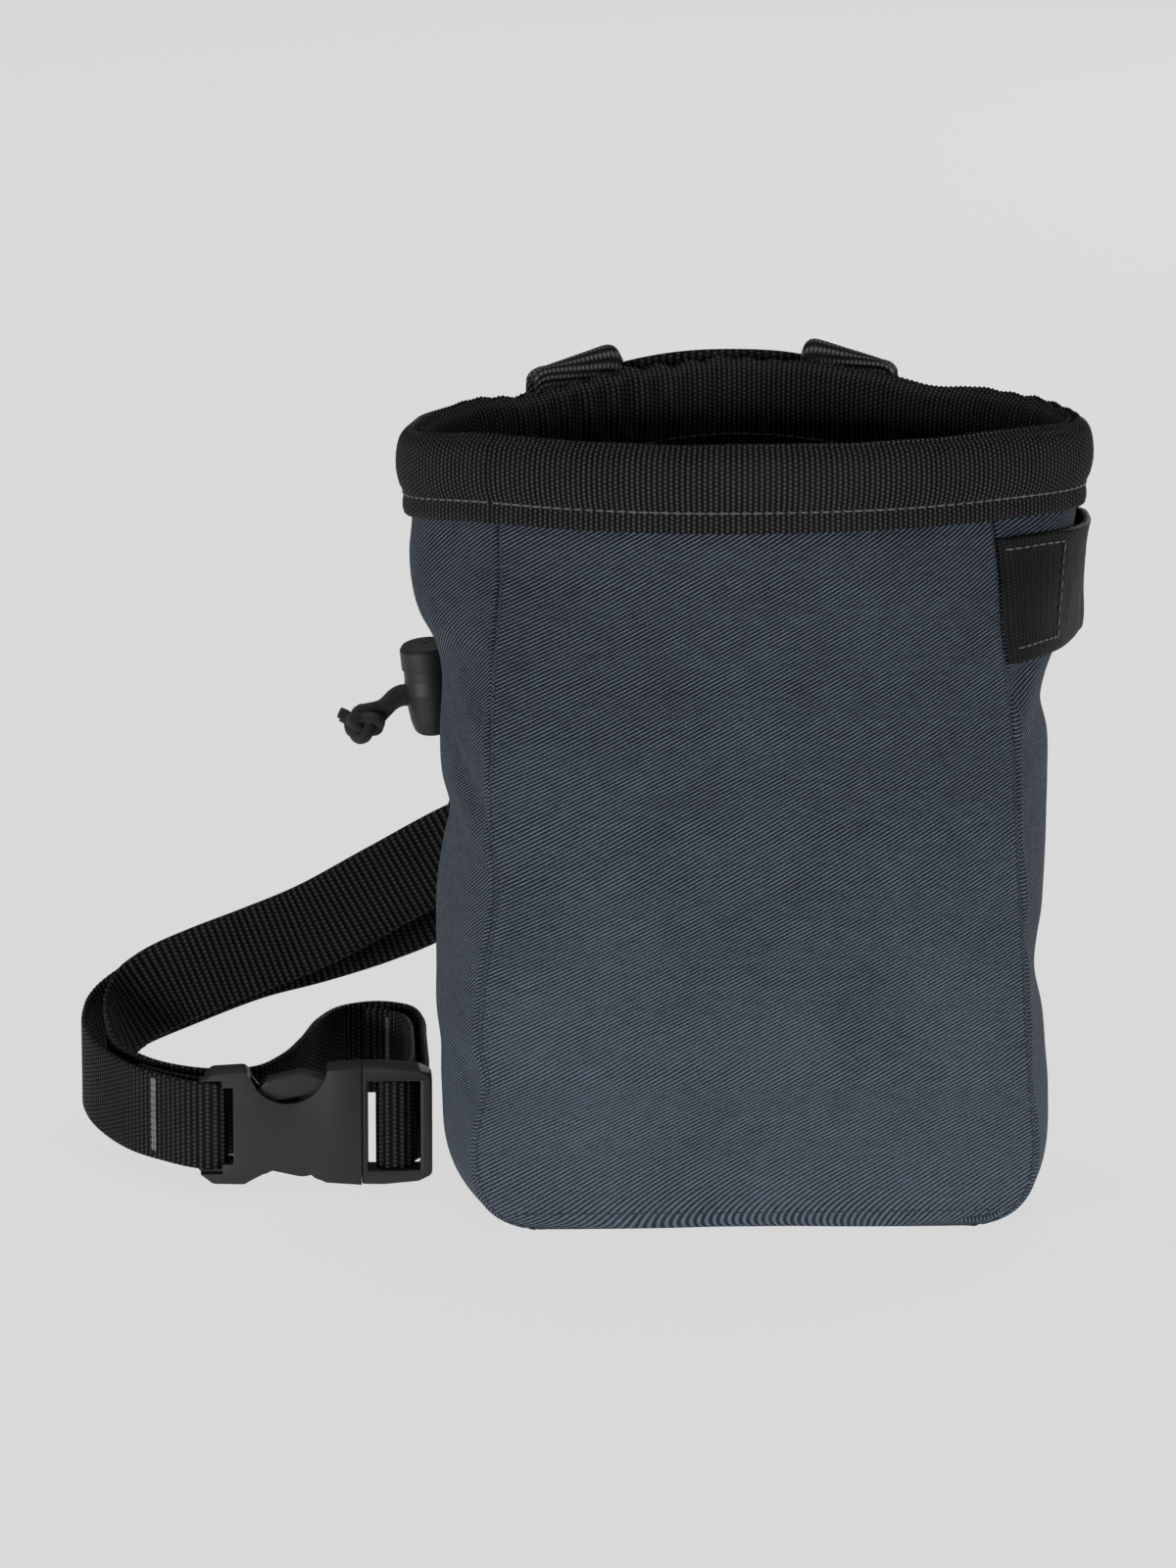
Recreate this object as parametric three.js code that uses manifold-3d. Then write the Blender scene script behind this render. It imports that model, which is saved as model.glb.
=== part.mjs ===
// Climbing chalk bag with its waist belt, in millimetres, +Z up.
// The bag stands on its flat bottom; its front panel faces -Y.
import * as THREE from "three";
import Module from "manifold-3d";

const wasm = await Module();
wasm.setup();

// Bag body
const shellHeight = 161;
const clothThick = 1.5;
const liningThick = 1.2;
const layerGap = 0.5;
const liningGap = 0.9;
const seamGap = 0.3;
const cornerWidth = 15.5;
const cornerHeight = 19;
const cornerRows = 3;
const panelColumns = 10;
const gussetColumns = 7;

// Padded band round the mouth
const bandHeight = 18.5;
const bandFlange = 5;
const padThick = 8.6;

// Webbing
const webWidth = 20;
const webThick = 1.6;
const loopWidth = 21.5;
const loopFoot = 34;
const brushWidth = 25;
const brushTop = shellHeight - 9;
const brushStand = 8.5;
const brushFlare = 0.28;

// Side-release buckle, standing on its long edge
const buckleLeft = -121.8;
const buckleSeam = -85.2;
const buckleRight = -69.4;
const buckleWidth = webWidth + 7.4;
const buckleThick = 9;
const buckleMiddle = buckleWidth / 2;
const buckleY = 3;
const barThick = 3;

// Cord lock
const lockRadius = 5.7;
const barrelHeight = 13.4;
const barrelWall = 1.7;
const plungerCap = 6;
const plungerTravel = 2;
const lockFoot = [-68.8, 22.5, 99.2];
const lockTop = [-70.4, 20.0, 120.4];
const cordAt = 8.6;

// Drawcords
const cordThick = 2.4;
const cordSides = 8;
const knotWidth = 7.6;

// Cross sections of the bag. share: height as a share of shellHeight; left, right: the
// seams of the front panel; leftOut, rightOut: how far the gusset swells past the seam;
// seamY, front: depth of the front seam and how far the panel swells past it;
// backY, back: the same at the back.
const sections = [
  {
    share: 1.0, left: -55.5, right: 53.0, leftOut: 18.0, rightOut: 20.4,
    seamY: -29.5, front: 18, backY: 29, back: 16.5,
  },
  {
    share: 0.955, left: -55.4, right: 53.0, leftOut: 18.0, rightOut: 20.1,
    seamY: -29.6, front: 17.8, backY: 29.1, back: 16.3,
  },
  {
    share: 0.905, left: -55.2, right: 53.8, leftOut: 18.8, rightOut: 17.7,
    seamY: -31.5, front: 15.6, backY: 30.3, back: 14.7,
  },
  {
    share: 0.865, left: -55.6, right: 54.2, leftOut: 18.0, rightOut: 16.4,
    seamY: -34, front: 13, backY: 31.5, back: 13,
  },
  {
    share: 0.82, left: -56.2, right: 54.6, leftOut: 15.8, rightOut: 15.0,
    seamY: -35.5, front: 11.5, backY: 32.5, back: 12,
  },
  {
    share: 0.775, left: -56.8, right: 55.6, leftOut: 11.6, rightOut: 13.2,
    seamY: -36.5, front: 10.5, backY: 33, back: 11,
  },
  {
    share: 0.735, left: -57.2, right: 56.4, leftOut: 9.8, rightOut: 10.0,
    seamY: -37.5, front: 10, backY: 33.5, back: 10.5,
  },
  {
    share: 0.7, left: -57.4, right: 57.0, leftOut: 9.6, rightOut: 8.2,
    seamY: -38.2, front: 9.5, backY: 34, back: 10,
  },
  {
    share: 0.65, left: -57.6, right: 57.6, leftOut: 9.8, rightOut: 9.2,
    seamY: -39, front: 8.8, backY: 34.5, back: 9,
  },
  {
    share: 0.59, left: -58.2, right: 58.0, leftOut: 8.8, rightOut: 9.0,
    seamY: -39.5, front: 8.2, backY: 35, back: 8,
  },
  {
    share: 0.54, left: -57.6, right: 58.4, leftOut: 7.6, rightOut: 8.4,
    seamY: -40, front: 7.6, backY: 35.2, back: 7.5,
  },
  {
    share: 0.49, left: -56.6, right: 58.8, leftOut: 10.2, rightOut: 7.8,
    seamY: -40.3, front: 7, backY: 35.4, back: 7,
  },
  {
    share: 0.43, left: -57.2, right: 59.4, leftOut: 11.0, rightOut: 6.6,
    seamY: -40.6, front: 6.3, backY: 35.6, back: 6.2,
  },
  {
    share: 0.37, left: -58.8, right: 60.0, leftOut: 9.6, rightOut: 4.8,
    seamY: -40.8, front: 5.5, backY: 35.8, back: 5.4,
  },
  {
    share: 0.315, left: -59.8, right: 60.4, leftOut: 8.6, rightOut: 4.2,
    seamY: -41, front: 4.6, backY: 36, back: 4.6,
  },
  {
    share: 0.26, left: -60.2, right: 61.0, leftOut: 8.2, rightOut: 5.2,
    seamY: -41, front: 3.7, backY: 36.2, back: 3.8,
  },
  {
    share: 0.205, left: -58.6, right: 61.6, leftOut: 8.8, rightOut: 5.4,
    seamY: -40.8, front: 2.8, backY: 36.4, back: 3,
  },
  {
    share: 0.165, left: -60.2, right: 62.2, leftOut: 7.2, rightOut: 5.4,
    seamY: -40.8, front: 2.2, backY: 36.6, back: 2.4,
  },
  {
    share: 0.118, left: -61.5, right: 62.8, leftOut: 5.6, rightOut: 5.0,
    seamY: -40.6, front: 1.6, backY: 36.8, back: 1.8,
  },
];

// How much the mouth rises above shellHeight by direction, every 45 degrees
// counter-clockwise from the right-hand side, seen from above.
const mouthRise = [-1.3, 1.1, 4.6, -0.2, -3.0, 0, 0.5, 0];

// Section of the band: out, from the cloth's outer face, as a share of padThick;
// up, from the top edge of the cloth, as a share of the height above it.
const bandSection = [
  { out: 0.06, up: -0.37 },
  { out: 0.2, up: -0.37 },
  { out: 0.2, up: -0.05 },
  { out: 0.31, up: 0.12 },
  { out: 0.38, up: 0.34 },
  { out: 0.37, up: 0.62 },
  { out: 0.27, up: 0.87 },
  { out: 0.1, up: 1.0 },
  { out: -0.06, up: 0.98 },
  { out: -0.12, up: 0.94 },
  { out: -0.18, up: 0.98 },
  { out: -0.36, up: 0.98 },
  { out: -0.57, up: 0.84 },
  { out: -0.7, up: 0.55 },
  { out: -0.7, up: 0.25 },
  { out: -0.62, up: -0.02 },
  { out: -0.62, up: -0.37 },
  { out: -0.48, up: -0.37 },
  { out: -0.48, up: 0.04 },
  { out: 0.06, up: 0.04 },
];

// Centreline of the waist belt, from the folded end on the female buckle half, round
// the left bend, up behind the bag, through both belt loops and back down to the tail.
// up: from the buckle's middle.
const beltPath = [
  { x: -134.6, y: 18.6, up: 0 },
  { x: -128, y: 10.9, up: 0 },
  { x: -122.6, y: 7.0, up: 0 },
  { x: -118.6, y: 6.0, up: 0 },
  { x: -116.3, y: 4.9, up: 0 },
  { x: -115.6, y: 3.0, up: 0 },
  { x: -116.3, y: 1.1, up: 0 },
  { x: -118.6, y: 0.2, up: 0 },
  { x: -123, y: 2.2, up: 0 },
  { x: -129, y: 8.1, up: 0 },
  { x: -136, y: 17.0, up: 0 },
  { x: -142.2, y: 31, up: 0.1 },
  { x: -146.4, y: 45, up: 0.8 },
  { x: -147.8, y: 58, up: 2.2 },
  { x: -145, y: 70, up: 5.3 },
  { x: -137, y: 77, up: 9.4 },
  { x: -125, y: 79, up: 14.4 },
  { x: -110, y: 79, up: 20.2 },
  { x: -95, y: 78, up: 24.4 },
  { x: -80, y: 77, up: 29.4 },
  { x: -69, y: 77, up: 34.2 },
  { x: -60, y: 77, up: 41.4 },
  { x: -54, y: 75, up: 56.4 },
  { x: -51.5, y: 71, up: 74.4 },
  { x: -52.5, y: 65, up: 92.4 },
  { x: -56, y: 57, up: 109.4 },
  { x: -59, y: 48.5, up: 124.4 },
  { x: -57.5, y: 42.5, up: 136.4 },
  { x: -52.2, y: 40.2, up: 145.4 },
];
// Between the loops, up: from the cloth's top edge.
const beltInLoops = [
  { x: -42.5, up: 1.6 },
  { x: -33.5, up: 3.0 },
  { x: -24, up: 4.2 },
  { x: -12, up: 4.6 },
  { x: 0, up: 4.5 },
  { x: 12, up: 4.5 },
  { x: 24, up: 3.4 },
  { x: 33.5, up: 2.2 },
];
const beltReturn = [
  { x: 43, y: 42.9, up: 149.4 },
  { x: 51, y: 39.8, up: 144.4 },
  { x: 58, y: 40, up: 135.4 },
  { x: 62, y: 45, up: 121.4 },
  { x: 60, y: 52, up: 104.4 },
  { x: 51, y: 58, up: 90.4 },
  { x: 37, y: 61.5, up: 82.4 },
  { x: 20, y: 62.5, up: 76.4 },
  { x: 2, y: 62.5, up: 70.4 },
  { x: -20, y: 62, up: 64.4 },
  { x: -42, y: 62, up: 57.9 },
  { x: -60, y: 62, up: 50.9 },
  { x: -78, y: 62, up: 41.2 },
  { x: -95, y: 62, up: 31.9 },
  { x: -108, y: 62, up: 26.5 },
  { x: -120, y: 62, up: 21.9 },
  { x: -130, y: 62, up: 17.4 },
  { x: -137, y: 60, up: 12.8 },
  { x: -141.5, y: 53, up: 7.4 },
  { x: -141.4, y: 43, up: 2.9 },
  { x: -139, y: 34, up: 1 },
  { x: -134, y: 25.5, up: 0.2 },
  { x: -127, y: 18, up: 0 },
  { x: -118, y: 13.6, up: 0 },
  { x: -109, y: 15.5, up: 0 },
  { x: -102.5, y: 27, up: 0 },
  { x: -98, y: 43, up: 0 },
  { x: -94, y: 62, up: 0 },
  { x: -88.5, y: 74, up: 0 },
  { x: -80.8, y: 77.8, up: 0 },
  { x: -73.8, y: 74, up: 0 },
  { x: -70.9, y: 62, up: 0 },
  { x: -70.6, y: 45, up: 0 },
  { x: -70.5, y: 30, up: 0 },
  { x: -70.5, y: 20, up: 0 },
  { x: -71.1, y: 13.4, up: 0 },
  { x: -72.2, y: 9.2, up: 0 },
  { x: -73.8, y: 5.8, up: 0 },
  { x: -74.1, y: 3.0, up: 0 },
  { x: -75.2, y: 1.0, up: 0 },
  { x: -78.0, y: 0.3, up: 0 },
  { x: -80.7, y: 0.9, up: 0 },
  { x: -81.6, y: 3.2, up: 0 },
  { x: -81.7, y: 6.2, up: 0 },
  { x: -80.6, y: 9.2, up: 0 },
  { x: -78.2, y: 11.8, up: 0 },
  { x: -75.4, y: 15.4, up: 0 },
  { x: -73.9, y: 21.5, up: 0 },
  { x: -73.5, y: 32, up: 0 },
  { x: -73.5, y: 45, up: 0 },
  { x: -73.7, y: 56, up: 0 },
  { x: -75.4, y: 65, up: 0 },
  { x: -79.4, y: 69.8, up: 0 },
  { x: -83.6, y: 70.6, up: 0 },
];

// Belt loops: where each sits across the back, how its strap slopes across its width,
// and the strap's course seen edge on.
// out: from the cloth at the mouth; up: from the cloth's top edge.
const beltLoops = [
  { name: "belt_loop_left", x: -33.5, tilt: 0.24 },
  { name: "belt_loop_right", x: 24, tilt: -0.26 },
];
const loopCourse = [
  { out: 4.5, up: -4 },
  { out: 4.5, up: 4 },
  { out: 4.5, up: 12.4 },
  { out: 4.9, up: 14.5 },
  { out: 6.8, up: 15.6 },
  { out: 9.0, up: 14.7 },
  { out: 9.8, up: 12.4 },
  { out: 9.8, up: 2 },
  { out: 9.2, up: -7 },
  { out: 7.0, up: -12 },
];

// Brush loop on the right gusset: across, as a share of the gusset's width from the
// front seam; stand, as a share of brushStand, which grows by brushFlare at the bottom.
const brushCourse = [
  { across: 0.02, stand: 0 },
  { across: 0.12, stand: 0 },
  { across: 0.24, stand: 0 },
  { across: 0.36, stand: 0.02 },
  { across: 0.46, stand: 0.1 },
  { across: 0.56, stand: 0.28 },
  { across: 0.66, stand: 0.56 },
  { across: 0.76, stand: 0.95 },
  { across: 0.84, stand: 0.95 },
  { across: 0.9, stand: 0.6 },
  { across: 0.94, stand: 0.2 },
  { across: 0.975, stand: 0 },
];

// Drawcord course after it leaves the lock, to the knot, and the tail past the knot.
const cordCourse = [
  { x: -77.0, y: 20.6, z: 106.6 },
  { x: -79.4, y: 20.4, z: 104.4 },
];
const knotAt = [-84.0, 20, 101.4];
const cordTail = [
  { x: -86.0, y: 20, z: 103.0 },
  { x: -88.4, y: 20, z: 103.6 },
  { x: -90.2, y: 20, z: 105.2 },
];

const add = (a, b, k = 1) => [a[0] + b[0] * k, a[1] + b[1] * k, a[2] + b[2] * k];
const sub = (a, b) => add(a, b, -1);
const mix = (a, b, k) => add(a, sub(b, a), k);
const dot = (a, b) => a[0] * b[0] + a[1] * b[1] + a[2] * b[2];
const cross = (a, b) => [
  a[1] * b[2] - a[2] * b[1],
  a[2] * b[0] - a[0] * b[2],
  a[0] * b[1] - a[1] * b[0],
];
const unit = (a) => {
  const long = Math.hypot(...a) || 1;
  return a.map((v) => v / long);
};
const swell = (k) => 1 - (2 * k - 1) ** 2;

// Height of the mouth's rise in the direction of a point.
function riseAt(x, y) {
  const turn = ((Math.atan2(y / 46, x / 74) / (2 * Math.PI)) * 8 + 8) % 8;
  const low = Math.floor(turn) % 8;
  const k = turn - Math.floor(turn);
  const ease = (1 - Math.cos(Math.PI * k)) / 2;
  return mouthRise[low] * (1 - ease) + mouthRise[(low + 1) % 8] * ease;
}

// The rows of the bag: the sections, then the rounded lower corners.
const rows = sections.map((s) => ({ ...s, z: s.share * shellHeight }));
const lastSection = rows[rows.length - 1];
for (let i = 1; i <= cornerRows; i++) {
  const turn = ((i / cornerRows) * Math.PI) / 2;
  const inward = cornerWidth * (1 - Math.cos(turn)) ** 1.15;
  const fade = 1 - i / cornerRows;
  rows.push({
    left: lastSection.left + inward,
    right: lastSection.right - inward,
    leftOut: lastSection.leftOut * fade ** 0.25,
    rightOut: lastSection.rightOut * fade ** 0.25,
    seamY: lastSection.seamY,
    front: lastSection.front * fade,
    backY: lastSection.backY,
    back: lastSection.back * fade,
    z: cornerHeight * (1 - Math.sin(turn)),
  });
}
const rowCount = rows.length;

// Lifts a point with the mouth's rise, only near the top.
function lifted([x, y, z]) {
  return [x, y, z + riseAt(x, y) * Math.max(0, (z / shellHeight - 0.5) / 0.5) ** 2];
}
// Outer face of the front or back panel, and of the gusset, by row.
function panelPoint(row, k, isBack) {
  const x = row.left + (row.right - row.left) * k;
  const y = isBack ? row.backY + row.back * swell(k) : row.seamY - row.front * swell(k);
  return lifted([x, y, row.z]);
}
function gussetPoint(row, k, isRight) {
  const x = isRight ? row.right + row.rightOut * swell(k) : row.left - row.leftOut * swell(k);
  return lifted([x, row.seamY + (row.backY - row.seamY) * k, row.z]);
}
function rowAt(z) {
  let i = 0;
  while (i < sections.length - 2 && rows[i + 1].z > z) i++;
  const k = (rows[i].z - z) / (rows[i].z - rows[i + 1].z);
  return Object.fromEntries(
    Object.keys(rows[i]).map((c) => [c, rows[i][c] * (1 - k) + rows[i + 1][c] * k]),
  );
}

const grid = (n, m, make) =>
  Array.from({ length: n }, (_, i) => Array.from({ length: m }, (_, j) => make(i, j)));
const frontFace = grid(rowCount, panelColumns + 1, (i, k) =>
  panelPoint(rows[i], k / panelColumns, false),
);
const backFace = grid(rowCount, panelColumns + 1, (i, k) =>
  panelPoint(rows[i], k / panelColumns, true),
);
// The gusset runs down the left side, along the bottom and up the right side.
const gussetRows = 2 * rowCount + panelColumns - 1;
const gussetFace = grid(gussetRows, gussetColumns + 1, (j, s) => {
  const k = s / gussetColumns;
  if (j < rowCount) return gussetPoint(rows[j], k, false);
  const column = j - rowCount + 1;
  if (column < panelColumns)
    return mix(frontFace[rowCount - 1][column], backFace[rowCount - 1][column], k);
  return gussetPoint(rows[gussetRows - 1 - j], k, true);
});

// One outward normal for each point of the shell, shared by the pieces at a seam.
const keyOf = (p) => p.map((v) => Math.round(v * 1000)).join(" ");
const normals = new Map();
function gatherNormals(face, turned) {
  for (let i = 0; i + 1 < face.length; i++)
    for (let j = 0; j + 1 < face[0].length; j++) {
      const corners = [face[i][j], face[i][j + 1], face[i + 1][j + 1], face[i + 1][j]];
      const n = unit(cross(sub(corners[2], corners[0]), sub(corners[3], corners[1])));
      for (const c of corners) {
        const sum = normals.get(keyOf(c)) ?? [0, 0, 0];
        normals.set(keyOf(c), add(sum, n, turned ? -1 : 1));
      }
    }
}
gatherNormals(frontFace, true);
gatherNormals(backFace, false);
gatherNormals(gussetFace, false);
const normalAt = (p) => unit(normals.get(keyOf(p)));
const sunk = (p, deep) => add(p, normalAt(p), -deep);

// A closed solid between two grids of points.
function between(outer, inner) {
  const n = outer.length;
  const m = outer[0].length;
  const points = [...outer.flat(), ...inner.flat()];
  const at = (layer, i, j) => layer * n * m + i * m + j;
  const faces = [];
  const quad = (a, b, c, d) => faces.push([a, b, c], [a, c, d]);
  for (let i = 0; i + 1 < n; i++)
    for (let j = 0; j + 1 < m; j++) {
      quad(at(0, i, j), at(0, i, j + 1), at(0, i + 1, j + 1), at(0, i + 1, j));
      quad(at(1, i, j), at(1, i + 1, j), at(1, i + 1, j + 1), at(1, i, j + 1));
    }
  for (let i = 0; i + 1 < n; i++) {
    quad(at(0, i, 0), at(0, i + 1, 0), at(1, i + 1, 0), at(1, i, 0));
    quad(at(0, i + 1, m - 1), at(0, i, m - 1), at(1, i, m - 1), at(1, i + 1, m - 1));
  }
  for (let j = 0; j + 1 < m; j++) {
    quad(at(0, 0, j + 1), at(0, 0, j), at(1, 0, j), at(1, 0, j + 1));
    quad(at(0, n - 1, j), at(0, n - 1, j + 1), at(1, n - 1, j + 1), at(1, n - 1, j));
  }
  return solidFrom(points, faces);
}
// Turns the faces outward if they enclose a negative volume.
function solidFrom(points, faces) {
  let volume = 0;
  for (const [a, b, c] of faces) volume += dot(points[a], cross(points[b], points[c]));
  const g = new THREE.BufferGeometry();
  g.setAttribute("position", new THREE.Float32BufferAttribute(points.flat(), 3));
  g.setIndex((volume < 0 ? faces.map(([a, b, c]) => [a, c, b]) : faces).flat());
  return g;
}
// Closed rings of points joined into a tube whose ends are flat, or into a ring.
function skinned(rings, isRing) {
  const n = rings.length;
  const m = rings[0].length;
  const faces = [];
  for (let i = 0; i < (isRing ? n : n - 1); i++)
    for (let j = 0; j < m; j++) {
      const a = i * m + j;
      const b = i * m + ((j + 1) % m);
      const c = ((i + 1) % n) * m + ((j + 1) % m);
      const d = ((i + 1) % n) * m + j;
      faces.push([a, b, c], [a, c, d]);
    }
  if (!isRing)
    for (let j = 1; j + 1 < m; j++) {
      faces.push([0, j + 1, j]);
      faces.push([(n - 1) * m, (n - 1) * m + j, (n - 1) * m + j + 1]);
    }
  return solidFrom(rings.flat(), faces);
}
// Pulls the edges of a face in, so that sewn pieces keep a small gap.
function trimmed(face, onTop) {
  const n = face.length - 1;
  const m = face[0].length - 1;
  const nudge = (p, q, gap) => add(p, unit(sub(q, p)), gap);
  return face.map((line, i) =>
    line.map((p, j) => {
      let q = p;
      if (j === 0) q = nudge(q, line[1], seamGap);
      if (j === m) q = nudge(q, line[m - 1], seamGap);
      if (i === n && onTop) q = nudge(q, face[n - 1][j], seamGap);
      return q;
    }),
  );
}
function clothPanel(face, closesBelow) {
  const outer = trimmed(face, closesBelow);
  const inner = trimmed(
    face.map((line) => line.map((p) => sunk(p, clothThick))),
    closesBelow,
  );
  return between(outer, inner);
}

// Lining: one cup just inside the shell.
function cupAt(deep) {
  const side = (j) => gussetFace[j].slice(1, -1);
  const rings = frontFace.map((line, i) =>
    [
      ...line,
      ...side(gussetRows - 1 - i),
      ...[...backFace[i]].reverse(),
      ...[...side(i)].reverse(),
    ].map((p) => sunk(p, deep)),
  );
  const floor = grid(panelColumns + 1, gussetColumns + 1, (k, s) =>
    sunk(gussetFace[rowCount - 1 + k][s], deep),
  );
  return { rings, floor };
}
function liningSolid() {
  const outer = cupAt(clothThick + liningGap);
  const inner = cupAt(clothThick + liningGap + liningThick);
  const points = [];
  const index = new Map();
  const idOf = (p, layer) => {
    const name = layer + keyOf(p);
    if (!index.has(name)) {
      index.set(name, points.length);
      points.push(p);
    }
    return index.get(name);
  };
  const faces = [];
  const quad = (corners, layers, turned) => {
    const ids = corners.map((p, i) => idOf(p, layers[i]));
    const [a, b, c, d] = turned ? [...ids].reverse() : ids;
    if (a !== b && b !== c && a !== c) faces.push([a, b, c]);
    if (a !== c && c !== d && a !== d) faces.push([a, c, d]);
  };
  const layer = ({ rings, floor }, id, turned) => {
    const m = rings[0].length;
    for (let i = 0; i + 1 < rings.length; i++)
      for (let j = 0; j < m; j++) {
        const e = (j + 1) % m;
        const corners = [rings[i][j], rings[i][e], rings[i + 1][e], rings[i + 1][j]];
        quad(corners, [id, id, id, id], turned);
      }
    for (let k = 0; k < panelColumns; k++)
      for (let s = 0; s < gussetColumns; s++) {
        const corners = [
          floor[k][s],
          floor[k + 1][s],
          floor[k + 1][s + 1],
          floor[k][s + 1],
        ];
        quad(corners, [id, id, id, id], turned);
      }
  };
  layer(outer, 0, false);
  layer(inner, 1, true);
  const m = outer.rings[0].length;
  for (let j = 0; j < m; j++) {
    const e = (j + 1) % m;
    const corners = [outer.rings[0][e], outer.rings[0][j], inner.rings[0][j], inner.rings[0][e]];
    quad(corners, [0, 0, 1, 1], false);
  }
  return solidFrom(points, faces);
}

// The ring of the mouth: the cloth's top edge, with the level direction outward.
const mouthRing = [
  ...frontFace[0],
  ...gussetFace[gussetRows - 1].slice(1, -1),
  ...[...backFace[0]].reverse(),
  ...[...gussetFace[0].slice(1, -1)].reverse(),
];
const levelOut = mouthRing.map((p, i) => {
  const before = mouthRing[(i + mouthRing.length - 1) % mouthRing.length];
  const after = mouthRing[(i + 1) % mouthRing.length];
  const along = sub(after, before);
  return unit([along[1], -along[0], 0]);
});
function bandSolid() {
  const rings = mouthRing.map((p, i) =>
    bandSection.map(({ out, up }) => {
      const side = add(p, levelOut[i], out * padThick);
      return add(side, [0, 0, 1], up * (bandHeight - bandFlange));
    }),
  );
  return skinned(rings, true);
}

// A point of the mouth's back edge at x, with its outward and sideways directions.
function backEdgeAt(x) {
  const row = rows[0];
  const at = (v) => panelPoint(row, (v - row.left) / (row.right - row.left), true);
  const along = unit(sub(at(x + 2), at(x - 2)));
  return { edge: at(x), out: unit([-along[1], along[0], 0]), along: unit([along[0], along[1], 0]) };
}

// A flat strap: half widths across, along a course, with a thickness.
function strap(course, across, thick, width) {
  const rings = course.map((p, i) => {
    const t = unit(sub(course[Math.min(i + 1, course.length - 1)], course[Math.max(i - 1, 0)]));
    const w = unit(sub(across[i], t.map((v) => v * dot(across[i], t))));
    const n = cross(t, w);
    const corner = (a, b) => add(add(p, w, (a * width) / 2), n, (b * thick) / 2);
    return [corner(-1, -1), corner(1, -1), corner(1, 1), corner(-1, 1)];
  });
  return skinned(rings, false);
}
function beltLoopSolid(x, tilt) {
  const { edge, out, along } = backEdgeAt(x);
  const course = loopCourse.map((c) => add(add(edge, out, c.out), [0, 0, c.up]));
  const across = course.map(() => unit([along[0], along[1], tilt]));
  for (let drop = 20; drop <= loopFoot; drop += 7) {
    const row = rowAt(edge[2] - drop);
    const k = (x - row.left) / (row.right - row.left);
    const side = unit(sub(panelPoint(row, k + 0.05, true), panelPoint(row, k - 0.05, true)));
    const level = unit([side[0], side[1], 0]);
    course.push(add(panelPoint(row, k, true), [-level[1], level[0], 0], webThick / 2 + layerGap));
    across.push(level);
  }
  return strap(course, across, webThick, loopWidth);
}

function brushLoopSolid() {
  const levels = [0, 0.25, 0.5, 0.75, 1];
  const face = (deep) =>
    levels.map((low) =>
      brushCourse.map(({ across, stand }) => {
        const row = rowAt(brushTop - brushWidth * low);
        const p = gussetPoint(row, across, true);
        const q = gussetPoint(row, across + 0.01, true);
        const o = gussetPoint(row, across - 0.01, true);
        const t = sub(q, o);
        return add(p, unit([t[1], -t[0], 0]), layerGap + stand * brushStand * (1 + brushFlare * low) + deep);
      }),
    );
  return between(face(webThick), face(0));
}

function beltSolid() {
  const middle = beltInLoops.map(({ x, up }) => {
    const { edge, out } = backEdgeAt(x);
    return add(add(edge, out, 6.9), [0, 0, up]);
  });
  const knots = [
    ...beltPath.map((p) => [p.x, p.y, buckleMiddle + p.up]),
    ...middle,
    ...beltReturn.map((p) => [p.x, p.y, buckleMiddle + p.up]),
  ];
  const curve = new THREE.CatmullRomCurve3(
    knots.map((p) => new THREE.Vector3(...p)),
    false,
    "centripetal",
  );
  const course = curve.getPoints((knots.length - 1) * 2).map((p) => p.toArray());
  // The webbing's flat face turns with the course and is kept where the course is steep.
  const along = (i) =>
    unit(sub(course[Math.min(i + 1, course.length - 1)], course[Math.max(i - 1, 0)]));
  let face = [0.7, 0.7, 0];
  const steep = [];
  let faces = course.map((_, i) => {
    const t = along(i);
    steep.push(Math.hypot(t[0], t[1]) < 0.62);
    if (!steep[i]) {
      const n = unit([t[1], -t[0], 0]);
      face = dot(n, face) < 0 ? n.map((v) => -v) : n;
    }
    return face;
  });
  // The webbing turns gradually through a steep stretch.
  const firstHeld = 2 * beltPath.length - 1;
  const lastHeld = 2 * (beltPath.length + beltInLoops.length) - 2;
  const held = (i) => i >= firstHeld && i <= lastHeld;
  const near = (i) => !held(i) && steep.slice(Math.max(0, i - 5), i + 6).some((v) => v);
  for (let pass = 0; pass < 24; pass++)
    faces = faces.map((f, i) =>
      near(i) ? unit(add(add(f, f), add(faces[i - 1], faces[i + 1]))) : f,
    );
  const across = faces.map((f, i) => cross(f, along(i)));
  return strap(course, across, webThick, webWidth);
}

// Solids for the hard pieces, joined and cut.
const box = (x0, x1, y0, y1, z0, z1) =>
  wasm.Manifold.cube([x1 - x0, y1 - y0, z1 - z0]).translate([x0, y0, z0]);
function plate(outline, y0, y1) {
  return new wasm.CrossSection([outline]).extrude(y1 - y0).rotate([90, 0, 0]).translate([0, y1, 0]);
}
function toGeometry(solid) {
  const mesh = solid.getMesh();
  const g = new THREE.BufferGeometry();
  g.setAttribute("position", new THREE.BufferAttribute(new Float32Array(mesh.vertProperties), 3));
  g.setIndex(new THREE.BufferAttribute(new Uint32Array(mesh.triVerts), 1));
  return g;
}
const mirrored = (half) => [
  ...half,
  ...[...half].reverse().map(([x, z]) => [x, buckleWidth - z]),
];
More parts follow.
